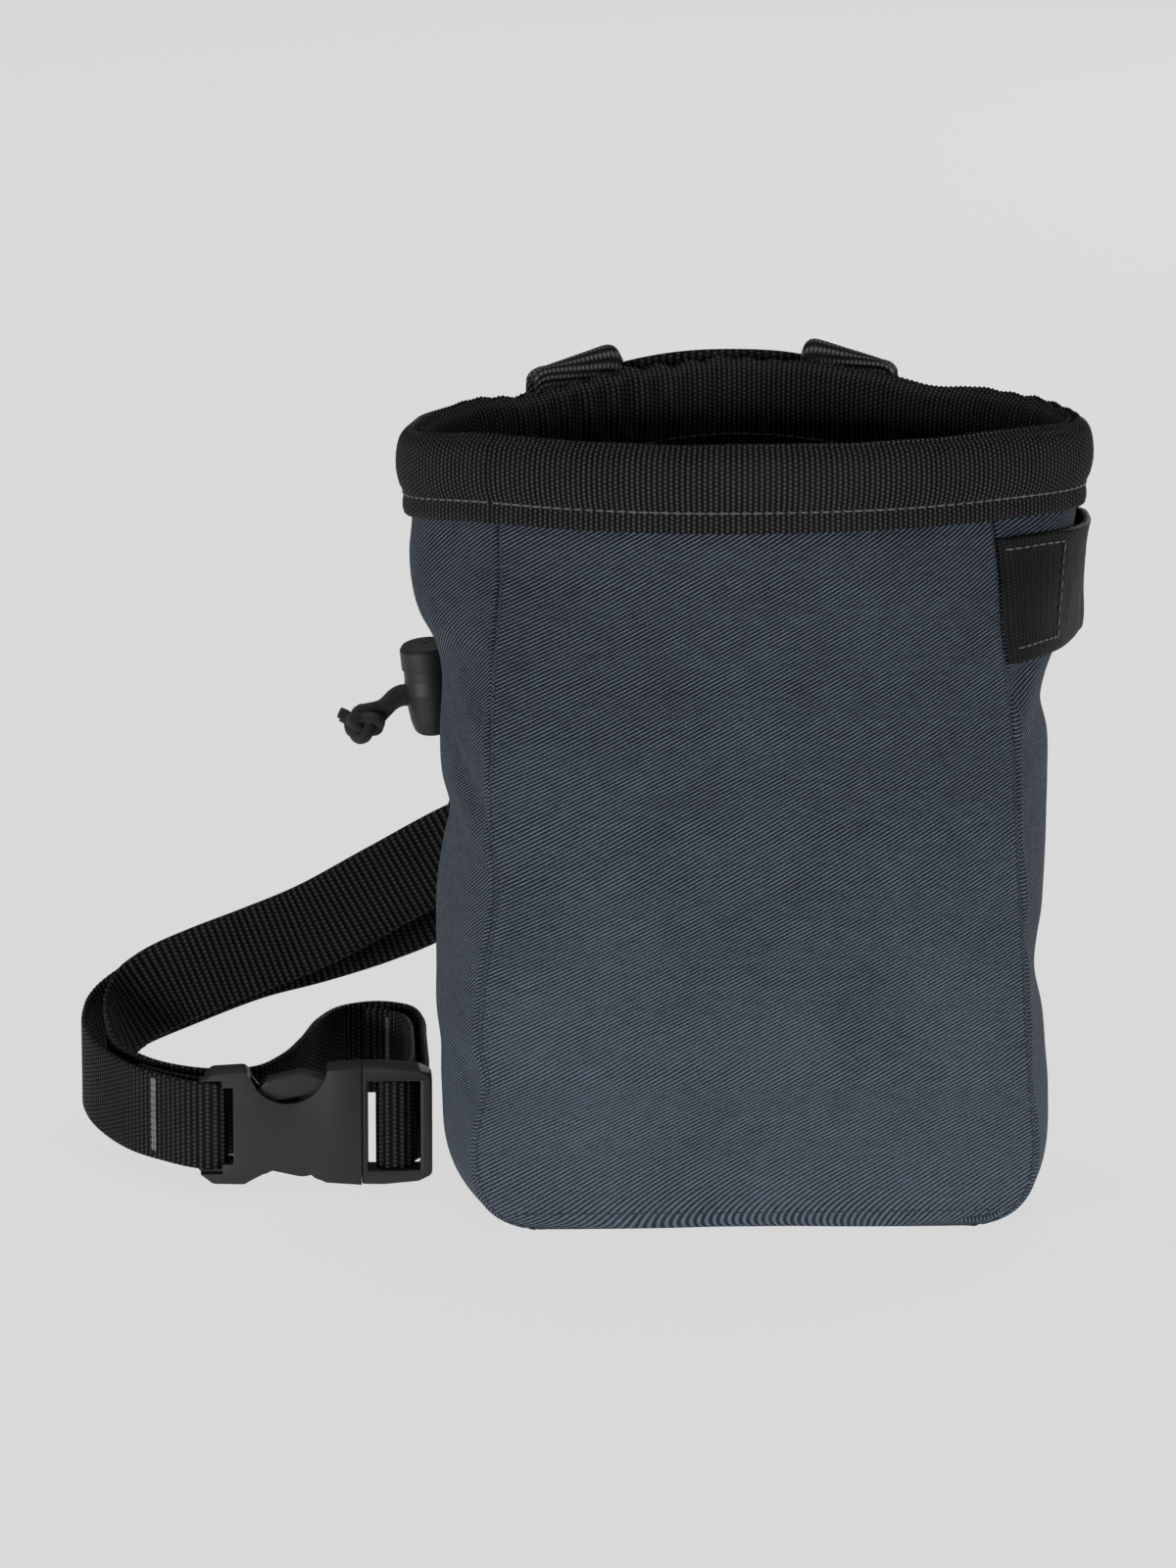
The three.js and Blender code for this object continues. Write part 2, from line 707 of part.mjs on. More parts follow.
// Half outline of each buckle half, lower edge, from left to right.
const femaleOutline = [
  [buckleLeft, 2.2],
  [buckleLeft + 1.6, 0.6],
  [buckleLeft + 4, 0],
  [buckleLeft + 10.5, 0],
  [buckleLeft + 12.6, 1.4],
  [buckleLeft + 15.4, 4.2],
  [buckleLeft + 21.5, 4.6],
  [buckleLeft + 26.6, 3.0],
  [buckleLeft + 28.6, 1.2],
  [buckleSeam - 5, 0.5],
  [buckleSeam, 0.3],
];
const maleOutline = [
  [buckleSeam + 0.3, 0.3],
  [buckleSeam + 5, 0.2],
  [buckleRight - 4, 0.8],
  [buckleRight - 1.2, 1.4],
  [buckleRight, 2.6],
];
function femaleSolid() {
  const y0 = buckleY - buckleThick / 2;
  const y1 = buckleY + buckleThick / 2;
  const body = plate(mirrored(femaleOutline), y0, y1);
  // Slot for the belt, leaving the end bar, which is thinner than the body.
  const slotLeft = buckleLeft + 4.6;
  const notch = box(buckleLeft - 1, slotLeft - barThick, y0 - 1, y1 + 1, 3, buckleWidth - 3);
  const slot = box(slotLeft, slotLeft + 3.4, y0 - 1, y1 + 1, 3, buckleWidth - 3);
  const barFront = box(buckleLeft - 1, slotLeft + 1, y0 - 1, buckleY - barThick / 2, 3, buckleWidth - 3);
  const barBack = box(buckleLeft - 1, slotLeft + 1, buckleY + barThick / 2, y1 + 1, 3, buckleWidth - 3);
  // Hollow for the male half, open on its right, and the two thumb openings.
  const hollow = box(buckleSeam - 25.5, buckleSeam + 1, y0 + 1.6, y1 - 1.6, 3.2, buckleWidth - 3.2);
  const thumbs = box(buckleLeft + 12.8, buckleLeft + 28, y0 + 1.6, y1 - 1.6, -1, buckleWidth + 1);
  return toGeometry(
    wasm.Manifold.difference([body, slot, notch, barFront, barBack, hollow, thumbs]),
  );
}
function maleSolid() {
  const y0 = buckleY - buckleThick / 2 + 0.8;
  const y1 = buckleY + buckleThick / 2 - 0.8;
  const body = plate(mirrored(maleOutline), y0, y1);
  const low = 3.1;
  const high = buckleWidth - 3.1;
  const innerSlot = box(buckleSeam + 1.4, buckleSeam + 5.2, y0 - 1, y1 + 1, low, high);
  const outerSlot = box(buckleSeam + 9.2, buckleRight - 2.6, y0 - 1, y1 + 1, low, high);
  const barTop = box(buckleSeam + 4, buckleSeam + 10, y0 - 1, buckleY - 1.3, low, high);
  const barUnder = box(buckleSeam + 4, buckleSeam + 10, buckleY + 1.3, y1 + 1, low, high);
  const frame = wasm.Manifold.difference([body, innerSlot, outerSlot, barTop, barUnder]);
  // Centre tongue and the two sprung arms with their catches, inside the female half.
  const armOutline = [
    [buckleSeam + 1, 4.0],
    [buckleSeam + 1, 7.0],
    [buckleSeam - 12, 6.4],
    [buckleSeam - 20, 8.2],
    [buckleSeam - 23.4, 6.8],
    [buckleSeam - 20, 3.6],
    [buckleSeam - 17, 2.6],
    [buckleSeam - 11, 3.4],
    [buckleSeam - 7.6, 3.6],
  ];
  const arm = plate(armOutline, y0 + 1.2, y1 - 1.2);
  const otherArm = arm.mirror([0, 0, 1]).translate([0, 0, buckleWidth]);
  const tongue = box(
    buckleSeam - 22,
    buckleSeam + 1,
    buckleY - 1.4,
    buckleY + 1.4,
    buckleMiddle - 2.4,
    buckleMiddle + 2.4,
  );
  return toGeometry(wasm.Manifold.union([frame, arm, otherArm, tongue]));
}

// The cord lock stands on its own axis and is turned into place as one.
const lockAxis = unit(sub(lockTop, lockFoot));
function placedOnLock(solid) {
  const turn = new THREE.Quaternion().setFromUnitVectors(
    new THREE.Vector3(0, 0, 1),
    new THREE.Vector3(...lockAxis),
  );
  const g = toGeometry(solid);
  g.applyQuaternion(turn);
  g.translate(...lockFoot);
  return g;
}
const lathed = (profile, sides = 20) => new wasm.CrossSection([profile]).revolve(sides);
const cordSlot = (low, high, wide) => box(-12, 12, -wide / 2, wide / 2, low, high);
const boreRadius = lockRadius - barrelWall;
function barrelSolid() {
  const outside = lathed([
    [0, 0],
    [lockRadius * 0.86, 0],
    [lockRadius * 0.93, 1],
    [lockRadius, barrelHeight * 0.6],
    [lockRadius, barrelHeight - 0.5],
    [lockRadius - 0.5, barrelHeight],
    [0, barrelHeight],
  ]);
  const bore = lathed([
    [0, 1.4],
    [boreRadius, 1.4],
    [boreRadius, barrelHeight + 1],
    [0, barrelHeight + 1],
  ]);
  const slot = cordSlot(cordAt - 2.8, cordAt + 2.8, 3.6);
  return placedOnLock(wasm.Manifold.difference([outside, bore, slot]));
}
function plungerSolid() {
  const capFoot = barrelHeight + plungerTravel + 0.3;
  const stem = boreRadius - 0.35;
  const outside = lathed([
    [0, 1.4 + plungerTravel + 0.4],
    [stem, 1.4 + plungerTravel + 0.4],
    [stem, capFoot],
    [lockRadius - 0.2, capFoot],
    [lockRadius, capFoot + 0.5],
    [lockRadius, capFoot + plungerCap - 1.6],
    [lockRadius - 0.7, capFoot + plungerCap - 0.5],
    [lockRadius - 2, capFoot + plungerCap],
    [0, capFoot + plungerCap],
  ]);
  const slot = cordSlot(cordAt - 2.7, cordAt + 2.7 + plungerTravel, 3.6);
  return placedOnLock(outside.subtract(slot));
}

// A cord: an eight-sided section drawn along its course.
function cordSolid(points, thick) {
  const curve = new THREE.CatmullRomCurve3(
    points.map((p) => new THREE.Vector3(...p)),
    false,
    "centripetal",
  );
  const shape = new THREE.Shape();
  for (let i = 0; i < cordSides; i++) {
    const a = (i / cordSides) * 2 * Math.PI;
    const p = [(Math.cos(a) * thick) / 2, (Math.sin(a) * thick) / 2];
    if (i === 0) shape.moveTo(...p);
    else shape.lineTo(...p);
  }
  const steps = Math.max(4, Math.round(curve.getLength() / (2 * thick)));
  return new THREE.ExtrudeGeometry(shape, { steps, extrudePath: curve, bevelEnabled: false });
}
function drawcordSolid(up) {
  const centre = add(lockFoot, lockAxis, cordAt);
  const middle = [
    add(centre, [5.6, 0, 0.5]),
    centre,
    add(centre, [-6.2, 0, -0.5]),
    ...cordCourse.map((p) => [p.x, p.y, p.z]),
    add(knotAt, [knotWidth * 0.47, 0, knotWidth * 0.22]),
  ];
  // The two cords run side by side, one over the other.
  const points = middle.map((p, i) => {
    const d = sub(middle[Math.min(i + 1, middle.length - 1)], middle[Math.max(i - 1, 0)]);
    return add(p, unit([d[2], 0, -d[0]]), up);
  });
  return cordSolid(points, cordThick);
}
function knotSolid() {
  const wraps = [
    { turn: [90, 0, 20], wide: 0.3 },
    { turn: [70, 60, 0], wide: 0.3 },
    { turn: [60, -70, 30], wide: 0.26 },
  ];
  const made = wraps.map(({ turn, wide }) =>
    new wasm.CrossSection([
      Array.from({ length: 8 }, (_, i) => {
        const a = (i / 8) * 2 * Math.PI;
        const r = cordThick * 0.52;
        return [knotWidth * wide + r * Math.cos(a), r * Math.sin(a)];
      }),
    ])
      .revolve(12)
      .rotate(turn),
  );
  const core = wasm.Manifold.sphere(knotWidth * 0.3, 10);
  const tail = cordSolid([knotAt, ...cordTail.map((p) => [p.x, p.y, p.z])], cordThick);
  const flat = tail.toNonIndexed();
  const found = new Map();
  const vertices = [];
  const triVerts = [];
  const position = flat.getAttribute("position");
  for (let i = 0; i < position.count; i++) {
    const p = [position.getX(i), position.getY(i), position.getZ(i)];
    const k = keyOf(p);
    if (!found.has(k)) {
      found.set(k, vertices.length / 3);
      vertices.push(...p);
    }
    triVerts.push(found.get(k));
  }
  const tailSolid = new wasm.Manifold(
    new wasm.Mesh({
      numProp: 3,
      vertProperties: new Float32Array(vertices),
      triVerts: new Uint32Array(triVerts),
    }),
  );
  const body = wasm.Manifold.union([core, ...made]).translate(knotAt);
  return toGeometry(body.add(tailSolid));
}

const group = new THREE.Group();
group.name = "chalk_bag";
function put(name, geometry, color, roughness) {
  const mesh = new THREE.Mesh(geometry, new THREE.MeshStandardMaterial({ color, roughness }));
  mesh.name = name;
  group.add(mesh);
}
const twill = 0x3e4654;
const blackCloth = 0x17181b;
const blackWeb = 0x1b1c1f;
const blackPlastic = 0x121315;
const blackCord = 0x141416;

put("front_panel", clothPanel(frontFace, true), twill, 0.9);
put("gusset", clothPanel(gussetFace, false), twill, 0.9);
put("back_panel", clothPanel(backFace, true), twill, 0.9);
put("lining", liningSolid(), blackCloth, 1);
put("rim_band", bandSolid(), blackWeb, 0.9);
for (const { name, x, tilt } of beltLoops) put(name, beltLoopSolid(x, tilt), blackWeb, 0.9);
put("brush_loop", brushLoopSolid(), blackWeb, 0.9);
put("belt", beltSolid(), blackWeb, 0.9);
put("buckle_female", femaleSolid(), blackPlastic, 0.45);
put("buckle_male", maleSolid(), blackPlastic, 0.45);
put("cord_lock_barrel", barrelSolid(), blackPlastic, 0.4);
put("cord_lock_plunger", plungerSolid(), blackPlastic, 0.4);
put("drawcord_1", drawcordSolid(cordThick * 0.54), blackCord, 0.9);
put("drawcord_2", drawcordSolid(-cordThick * 0.54), blackCord, 0.9);
put("cord_knot", knotSolid(), blackCord, 0.9);

export default group;
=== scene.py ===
import math

import bmesh
import bpy
import numpy as np
from mathutils import Matrix, Vector


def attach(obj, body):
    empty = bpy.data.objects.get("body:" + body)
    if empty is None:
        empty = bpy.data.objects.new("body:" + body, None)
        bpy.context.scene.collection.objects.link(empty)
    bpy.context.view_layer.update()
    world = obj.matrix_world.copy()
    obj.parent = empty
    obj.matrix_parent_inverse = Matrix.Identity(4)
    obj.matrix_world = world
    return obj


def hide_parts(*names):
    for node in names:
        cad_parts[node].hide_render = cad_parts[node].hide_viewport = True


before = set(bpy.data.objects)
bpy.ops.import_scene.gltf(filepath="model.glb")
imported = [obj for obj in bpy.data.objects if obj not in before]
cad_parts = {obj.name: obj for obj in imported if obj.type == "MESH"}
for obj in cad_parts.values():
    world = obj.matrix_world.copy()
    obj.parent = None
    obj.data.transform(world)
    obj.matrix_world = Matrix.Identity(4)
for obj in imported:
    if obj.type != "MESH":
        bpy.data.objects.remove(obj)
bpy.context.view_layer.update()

scene = bpy.context.scene

# ---------------------------------------------------------------- camera
# The camera stands two metres off, a little left of straight on and 12 degrees above the
# horizon, with the long lens of a catalogue picture.
eye = bpy.data.objects.new("camera", bpy.data.cameras.new("camera"))
scene.collection.objects.link(eye)
scene.camera = eye
eye.data.sensor_width = 36
eye.data.lens = 207
turn, height = math.radians(-2), math.radians(12)
toward_eye = Vector((math.sin(turn) * math.cos(height), -math.cos(turn) * math.cos(height),
                     math.sin(height)))
right_hand = Vector((math.cos(turn), math.sin(turn), 0))
upward = toward_eye.cross(right_hand)
eye.matrix_world = Matrix((
    (right_hand.x, upward.x, toward_eye.x, -0.034544 + 2 * toward_eye.x),
    (right_hand.y, upward.y, toward_eye.y, 0.001206 + 2 * toward_eye.y),
    (right_hand.z, upward.z, toward_eye.z, 0.090929 + 2 * toward_eye.z),
    (0, 0, 0, 1),
))
eye.data.clip_start, eye.data.clip_end = 0.05, 60


# ---------------------------------------------------------------- drawcords
# Two thin braided cords run side by side out of the cord lock and are tied together in
# one overhand knot with a short cut tail.
def between(a, b, c, d, k):
    """The place a share k of the way from b to c on a rounded line through four points."""
    return 0.5 * (2 * b + (c - a) * k + (2 * a - 5 * b + 4 * c - d) * k * k
                  + (3 * b - 3 * c + d - a) * k ** 3)


def smooth_line(points, steps):
    """Points of a rounded line through the given ones."""
    p = np.array(points, float)
    ends = np.vstack([2 * p[0] - p[1], p, 2 * p[-1] - p[-2]])
    made = []
    for i in range(1, len(ends) - 2):
        a, b, c, d = ends[i - 1:i + 3]
        for k in np.arange(steps) / steps:
            made.append(between(a, b, c, d, k))
    made.append(p[-1])
    return np.array(made)


def distances_along(line):
    """Distance of each point of a line from its first."""
    return np.concatenate([[0], np.cumsum(np.linalg.norm(np.diff(line, axis=0), axis=1))])


def points_at(at, run, line):
    """Points of a line at given places of its run."""
    return np.stack([np.interp(at, run, line[:, i]) for i in range(3)], axis=1)


def evenly(points, gap):
    """The same line with points an even distance apart."""
    p = np.array(points, float)
    run = distances_along(p)
    return points_at(np.linspace(0, run[-1], max(2, int(round(run[-1] / gap)) + 1)), run, p)


def unit(v):
    """Directions of one or more vectors, each of length one."""
    return v / np.maximum(np.linalg.norm(v, axis=-1, keepdims=True), 1e-12)


def new_piece(name, points, faces, uv=None, body="bag"):
    """An object of the given points and faces; uv holds one pair for each point."""
    mesh = bpy.data.meshes.new(name)
    mesh.from_pydata([tuple(map(float, p)) for p in points], [], faces)
    if uv is not None:
        layer = mesh.uv_layers.new(name="cloth")
        corner = np.empty(len(mesh.loops), np.int32)
        mesh.loops.foreach_get("vertex_index", corner)
        layer.data.foreach_set("uv", np.array(uv, np.float32)[corner].ravel())
    mesh.polygons.foreach_set("use_smooth", [True] * len(mesh.polygons))
    piece = bpy.data.objects.new(name, mesh)
    scene.collection.objects.link(piece)
    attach(piece, body)
    return piece


def tube_faces(rings, sides):
    """Faces of a tube made of rings of points, with a lid on each end."""
    faces = [(i * sides + j, i * sides + (j + 1) % sides, (i + 1) * sides + (j + 1) % sides,
              (i + 1) * sides + j) for i in range(rings - 1) for j in range(sides)]
    return faces + [tuple(range(sides))[::-1],
                    tuple((rings - 1) * sides + j for j in range(sides))]


def tube(name, line, radius, sides=10):
    """A round cord along a line, with the way round and along it in its map."""
    line = np.array(line)
    t = unit(np.gradient(line, axis=0))
    side = unit(np.cross(t[0], (0.1, 1, 0.2)))
    points, uv = [], []
    run = distances_along(line)
    for i, p in enumerate(line):
        side = unit(side - t[i] * (side @ t[i]))
        other = np.cross(t[i], side)
        for j in range(sides):
            a = 2 * math.pi * j / sides
            points.append(p + radius * (math.cos(a) * side + math.sin(a) * other))
            uv.append((j / sides * 2 * math.pi * radius, run[i]))
    return new_piece(name, points, tube_faces(len(line), sides), uv)


def knotted_course(lift, deep, lean, size):
    """Course of one cord: out of the lock, round the knot once, and out to the tail."""
    knot = np.array((-84.0, 20.0, 101.4))
    t = np.linspace(math.pi + 0.42, 3 * math.pi - 0.42, 15)
    loop = np.stack([-(np.sin(t) + 2 * np.sin(2 * t)), 1.4 * np.sin(3 * t),
                     -(np.cos(t) - 2 * np.cos(2 * t))], axis=1) * size
    c, s = math.cos(lean), math.sin(lean)
    loop = np.stack([loop[:, 0] * c - loop[:, 2] * s, loop[:, 1] + deep,
                     loop[:, 0] * s + loop[:, 2] * c], axis=1) + knot
    lead = [(-73.4, 21.45, 107.3 + lift), (-75.6, 21.3, 107.2 + lift),
            (-77.4, 20.9, 106.4 + lift), (-79.3, 20.5, 104.6 + lift),
            (-81.0, 20.2 + deep * 0.6, 103.6 + lift)]
    tail = [(-86.8, 20 + deep * 0.5, 102.2), (-88.0, 20 + deep * 0.5, 102.7 + 0.2 * lift),
            (-89.2 - 0.2 * lift, 20 + deep * 0.4, 103.3 + 0.25 * lift)]
    return evenly(smooth_line(lead + list(map(tuple, loop)) + tail, 8), 0.25) * 0.001


cords = []
for name, lift, deep, lean, size in (("drawcord_upper", 1.2, 1.05, 0.0, 1.16),
                                     ("drawcord_lower", -1.2, -1.15, 0.6, 1.18)):
    course = knotted_course(lift, deep, lean, size)
    cord = tube(name, course, 0.00128, sides=12)
    cords.append(cord)
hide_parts("drawcord_1", "cord_knot")
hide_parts("drawcord_2")


def shader(name, colour, roughness, sheen=0.0):
    """A new material with its own nodes; gives the material, its nodes and a maker of sums."""
    made = bpy.data.materials.new(name)
    made.use_nodes = True
    nodes = made.node_tree.nodes
    base = nodes["Principled BSDF"]
    base.inputs["Base Color"].default_value = (*colour, 1)
    base.inputs["Roughness"].default_value = roughness
    base.inputs["Sheen Weight"].default_value = sheen
    base.inputs["Sheen Roughness"].default_value = 0.5

    def sum_of(kind, *values):
        """A sum of the given kind on numbers and outputs of other nodes."""
        node = nodes.new("ShaderNodeMath")
        node.operation = kind
        for i, v in enumerate(values):
            if isinstance(v, (int, float)):
                node.inputs[i].default_value = v
            else:
                made.node_tree.links.new(v, node.inputs[i])
        return node.outputs[0]
    return made, base, sum_of


def noise_of(made, scale, detail=3.0, stretch=(1, 1, 1)):
    """Noise in the piece's own space; scale is in lumps to the metre."""
    nodes, links = made.node_tree.nodes, made.node_tree.links
    place = nodes.new("ShaderNodeTexCoord")
    spread = nodes.new("ShaderNodeMapping")
    spread.inputs["Scale"].default_value = stretch
    noise = nodes.new("ShaderNodeTexNoise")
    noise.inputs["Scale"].default_value = scale
    noise.inputs["Detail"].default_value = detail
    noise.inputs["Roughness"].default_value = 0.55
    links.new(place.outputs["Object"], spread.inputs["Vector"])
    links.new(spread.outputs[0], noise.inputs["Vector"])
    return noise.outputs["Fac"]


def from_nought(of, wave):
    """A wave from -1 to 1 brought to between nought and one."""
    return of("ADD", of("MULTIPLY", wave, 0.5), 0.5)


def map_of(made):
    """The two numbers of the piece's own map, in millimetres."""
    nodes, links = made.node_tree.nodes, made.node_tree.links
    chart = nodes.new("ShaderNodeUVMap")
    chart.uv_map = "cloth"
    apart = nodes.new("ShaderNodeSeparateXYZ")
    links.new(chart.outputs[0], apart.inputs[0])
    made_of = []
    for i in range(2):
        node = nodes.new("ShaderNodeMath")
        node.operation = "MULTIPLY"
        node.inputs[1].default_value = 1000
        links.new(apart.outputs[i], node.inputs[0])
        made_of.append(node.outputs[0])
    return made_of


def finish_with(made, base, height=None, strength=0.5, deep=0.0004, tone=None, dark=None,
                light=None, rough=None):
    """Joins a height to the bump, a tone to the colour between dark and light, and gloss."""
    nodes, links = made.node_tree.nodes, made.node_tree.links
    if height is not None:
        bump = nodes.new("ShaderNodeBump")
        bump.inputs["Strength"].default_value = strength
        bump.inputs["Distance"].default_value = deep
        links.new(height, bump.inputs["Height"])
        links.new(bump.outputs[0], base.inputs["Normal"])
    if tone is not None:
        blend = nodes.new("ShaderNodeMix")
        blend.data_type = "RGBA"
        blend.inputs["A"].default_value = (*dark, 1)
        blend.inputs["B"].default_value = (*light, 1)
        links.new(tone, blend.inputs["Factor"])
        links.new(blend.outputs["Result"], base.inputs["Base Color"])
    if rough is not None:
        links.new(rough, base.inputs["Roughness"])


braid, base, of = shader("braided cord", (0.012, 0.0125, 0.014), 0.62, sheen=0.04)
u, v = map_of(braid)
across = of("MULTIPLY", u, 2 * math.pi / 0.82)
along = of("MULTIPLY", v, 2 * math.pi / 1.1)
plait = of("MULTIPLY", of("SINE", of("ADD", across, along)),
           of("SINE", of("SUBTRACT", across, along)))
plait = of("ABSOLUTE", plait)
finish_with(braid, base, height=of("POWER", plait, 0.6), strength=0.9, deep=0.0003,
            tone=of("POWER", plait, 2.6), dark=(0.001, 0.001, 0.0012),
            light=(0.07, 0.072, 0.078))
for cord in cords:
    cord.data.materials.append(braid)

# ---------------------------------------------------------------- cord lock
# A spring cord lock moulded in black plastic: a barrel with a rounded foot and, in its
# bore, a plunger whose hollow cap slides over the barrel's collar against a spring.
lock_foot = np.array((-68.2, 22.4, 99.2)) * 0.001
lock_axis = unit(np.array((-70.4, 20.0, 120.4)) - np.array((-68.2, 22.4, 99.2)))
lock_turn = Vector((0, 0, 1)).rotation_difference(Vector(lock_axis)).to_matrix().to_4x4()
lock_place = Matrix.Translation(Vector(lock_foot)) @ lock_turn


def lathe(name, profile, body, sides=72):
    """A turned shape from pairs of radius and height in millimetres, set on the lock."""
    points = []
    for r, z in profile:
        for a in 2 * math.pi * np.arange(sides) / sides:
            points.append(lock_place @ (Vector((r * math.cos(a), r * math.sin(a), z)) * 0.001))
    return new_piece(name, points, tube_faces(len(profile), sides), body=body)


def rounded_profile(corners, steps=5):
    """Pairs of numbers with each inner corner of the given radius rounded off."""
    made = [corners[0][:2]]
    for i in range(1, len(corners) - 1):
        p = np.array(corners[i][:2], float)
        radius = corners[i][2] if len(corners[i]) > 2 else 0
        a = unit(np.array(corners[i - 1][:2], float) - p)
        b = unit(np.array(corners[i + 1][:2], float) - p)
        if radius <= 0:
            made.append(tuple(p))
            continue
        angle = math.acos(max(-1, min(1, float(a @ b))))
        reach = radius / math.tan(angle / 2)
        start, end = p + a * reach, p + b * reach
        for k in np.linspace(0, 1, steps + 1):
            made.append(tuple((1 - k) ** 2 * start + 2 * k * (1 - k) * p + k * k * end))
    made.append(corners[-1][:2])
    return made


barrel = lathe("cord_lock_barrel_shell", rounded_profile([
    (0.02, -0.7), (4.1, -0.6, 2.4), (5.0, 2.9, 2.4), (5.75, 9.5, 1.5), (5.4, 12.7, 0.6),
    (5.4, 15.4, 0.2), (4.2, 15.4, 0.15), (4.2, 1.4, 0.5), (0.02, 1.4)]), "bag")
cap = lathe("cord_lock_plunger_cap", rounded_profile([
    (0.02, 3.9), (3.7, 3.9, 0.3), (3.7, 18.0), (5.55, 18.0), (5.55, 14.8), (5.8, 14.8, 0.1),
    (5.8, 19.3, 0.4), (5.2, 20.2, 0.5), (0.6, 20.5, 0.2), (0.35, 20.1), (0.02, 20.0)]),
    "plunger")
for piece, node in ((barrel, "cord_lock_barrel"), (cap, "cord_lock_plunger")):
    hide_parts(node)
moulded, base, of = shader("moulded lock plastic", (0.014, 0.0145, 0.016), 0.5)
grain = noise_of(moulded, 5200, 2)
cloud = noise_of(moulded, 160, 3)
finish_with(moulded, base, height=grain, strength=0.35, deep=0.00008, tone=cloud,
            dark=(0.0048, 0.0052, 0.006), light=(0.0105, 0.011, 0.0125),
            rough=of("ADD", of("MULTIPLY", cloud, 0.16), 0.4))
for piece in (barrel, cap):
    piece.data.materials.append(moulded)

# ---------------------------------------------------------------- bag shell
# The shell is sewn from slate-blue cotton twill: a front panel, a back panel and one
# gusset that runs down the left side, along the bottom and up the right side.
# Columns: share of the height, front seams left and right, how far the gusset swells
# past them left and right, depth of the front seam, swell of the front, back seam, back.
shell_height, corner_radius = 161, 19
sections = np.array((
    (1.0, -55.5, 53.0, 18.0, 20.4, -29.5, 18, 29, 16.5),
    (0.955, -55.4, 53.0, 18.0, 20.1, -29.6, 17.8, 29.1, 16.3),
    (0.905, -55.2, 53.8, 18.8, 17.7, -31.5, 15.6, 30.3, 14.7),
    (0.865, -55.6, 54.2, 18.0, 16.4, -34, 13, 31.5, 13),
    (0.82, -56.2, 54.6, 15.8, 15.0, -35.5, 11.5, 32.5, 12),
    (0.775, -56.8, 55.6, 11.6, 13.2, -36.5, 10.5, 33, 11),
    (0.735, -57.2, 56.4, 9.8, 10.0, -37.5, 10, 33.5, 10.5),
    (0.7, -57.4, 57.0, 9.6, 8.2, -38.2, 9.5, 34, 10),
    (0.65, -57.6, 57.6, 9.8, 9.2, -39, 8.8, 34.5, 9),
    (0.59, -58.2, 58.0, 8.8, 9.0, -39.5, 8.2, 35, 8),
    (0.54, -57.6, 58.4, 7.6, 8.4, -40, 7.6, 35.2, 7.5),
    (0.49, -56.6, 58.8, 10.2, 7.8, -40.3, 7, 35.4, 7),
    (0.43, -57.2, 59.4, 11.0, 6.6, -40.6, 6.3, 35.6, 6.2),
    (0.37, -58.8, 60.0, 9.6, 4.8, -40.8, 5.5, 35.8, 5.4),
    (0.315, -59.8, 60.4, 8.6, 4.2, -41, 4.6, 36, 4.6),
    (0.26, -60.2, 61.0, 8.2, 5.2, -41, 3.7, 36.2, 3.8),
    (0.205, -58.6, 61.6, 8.8, 5.4, -40.8, 2.8, 36.4, 3),
    (0.165, -60.2, 62.2, 7.2, 5.4, -40.8, 2.2, 36.6, 2.4),
    (0.118, -61.5, 62.8, 5.6, 5.0, -40.6, 1.6, 36.8, 1.8),
))
mouth_rise = np.array((-1.3, 0.3, 4.6, -1.1, -3.0, 0, 0.5, 0))


def row_at(z):
    """The section at height z: seams, swells and depths, eased between the table's rows."""
    heights = sections[::-1, 0] * shell_height
    table = sections[::-1, 1:]
    z = min(max(z, heights[0]), shell_height)
    i = int(np.clip(np.searchsorted(heights, z) - 1, 0, len(heights) - 2))
    k = (z - heights[i]) / (heights[i + 1] - heights[i])
    slope = np.gradient(table, heights, axis=0)
    width = heights[i + 1] - heights[i]
    return ((2 * k ** 3 - 3 * k ** 2 + 1) * table[i] + (k ** 3 - 2 * k ** 2 + k) * width
            * slope[i] + (3 * k ** 2 - 2 * k ** 3) * table[i + 1] + (k ** 3 - k ** 2) * width
            * slope[i + 1])


body_rows = [(*row_at(z), z) for z in np.linspace(shell_height, corner_radius + 0.01, 126)]
last = body_rows[-1]
corner_steps = 18
for i in range(1, corner_steps + 1):
    bend = i / corner_steps * math.pi / 2
    inward, fade = 15.5 * (1 - math.cos(bend)) ** 1.35, 1 - i / corner_steps
    body_rows.append((last[0] + inward, last[1] - inward, last[2] * fade ** 0.1,
                      last[3] * fade ** 0.1, last[4], last[5] * fade, last[6],
                      last[7] * fade, corner_radius * (1 - math.sin(bend))))
body_rows = np.array(body_rows)


def lifted(p):
    """Raises points near the mouth by its rise in their direction."""
    around = (np.arctan2(p[..., 1] / 46, p[..., 0] / 74) / (2 * math.pi) * 8) % 8
    low = np.floor(around).astype(int) % 8
    ease = (1 - np.cos(math.pi * (around - np.floor(around)))) / 2
    rise = mouth_rise[low] * (1 - ease) + mouth_rise[(low + 1) % 8] * ease
    p = p.copy()
    p[..., 2] += rise * np.maximum(0, (p[..., 2] / shell_height - 0.5) / 0.5) ** 2
    return p


def panel_grid(rows, k, is_back):
    """Points of the front or back panel; k runs from the left seam to the right one."""
    rows, k = np.asarray(rows)[:, None, :], np.asarray(k)[None, :]
    swell = 1 - (2 * k - 1) ** 2
    x = rows[..., 0] + (rows[..., 1] - rows[..., 0]) * k
    y = rows[..., 6] + rows[..., 7] * swell if is_back else rows[..., 4] - rows[..., 5] * swell
    return lifted(np.stack(np.broadcast_arrays(x, y, rows[..., 8]), axis=-1))


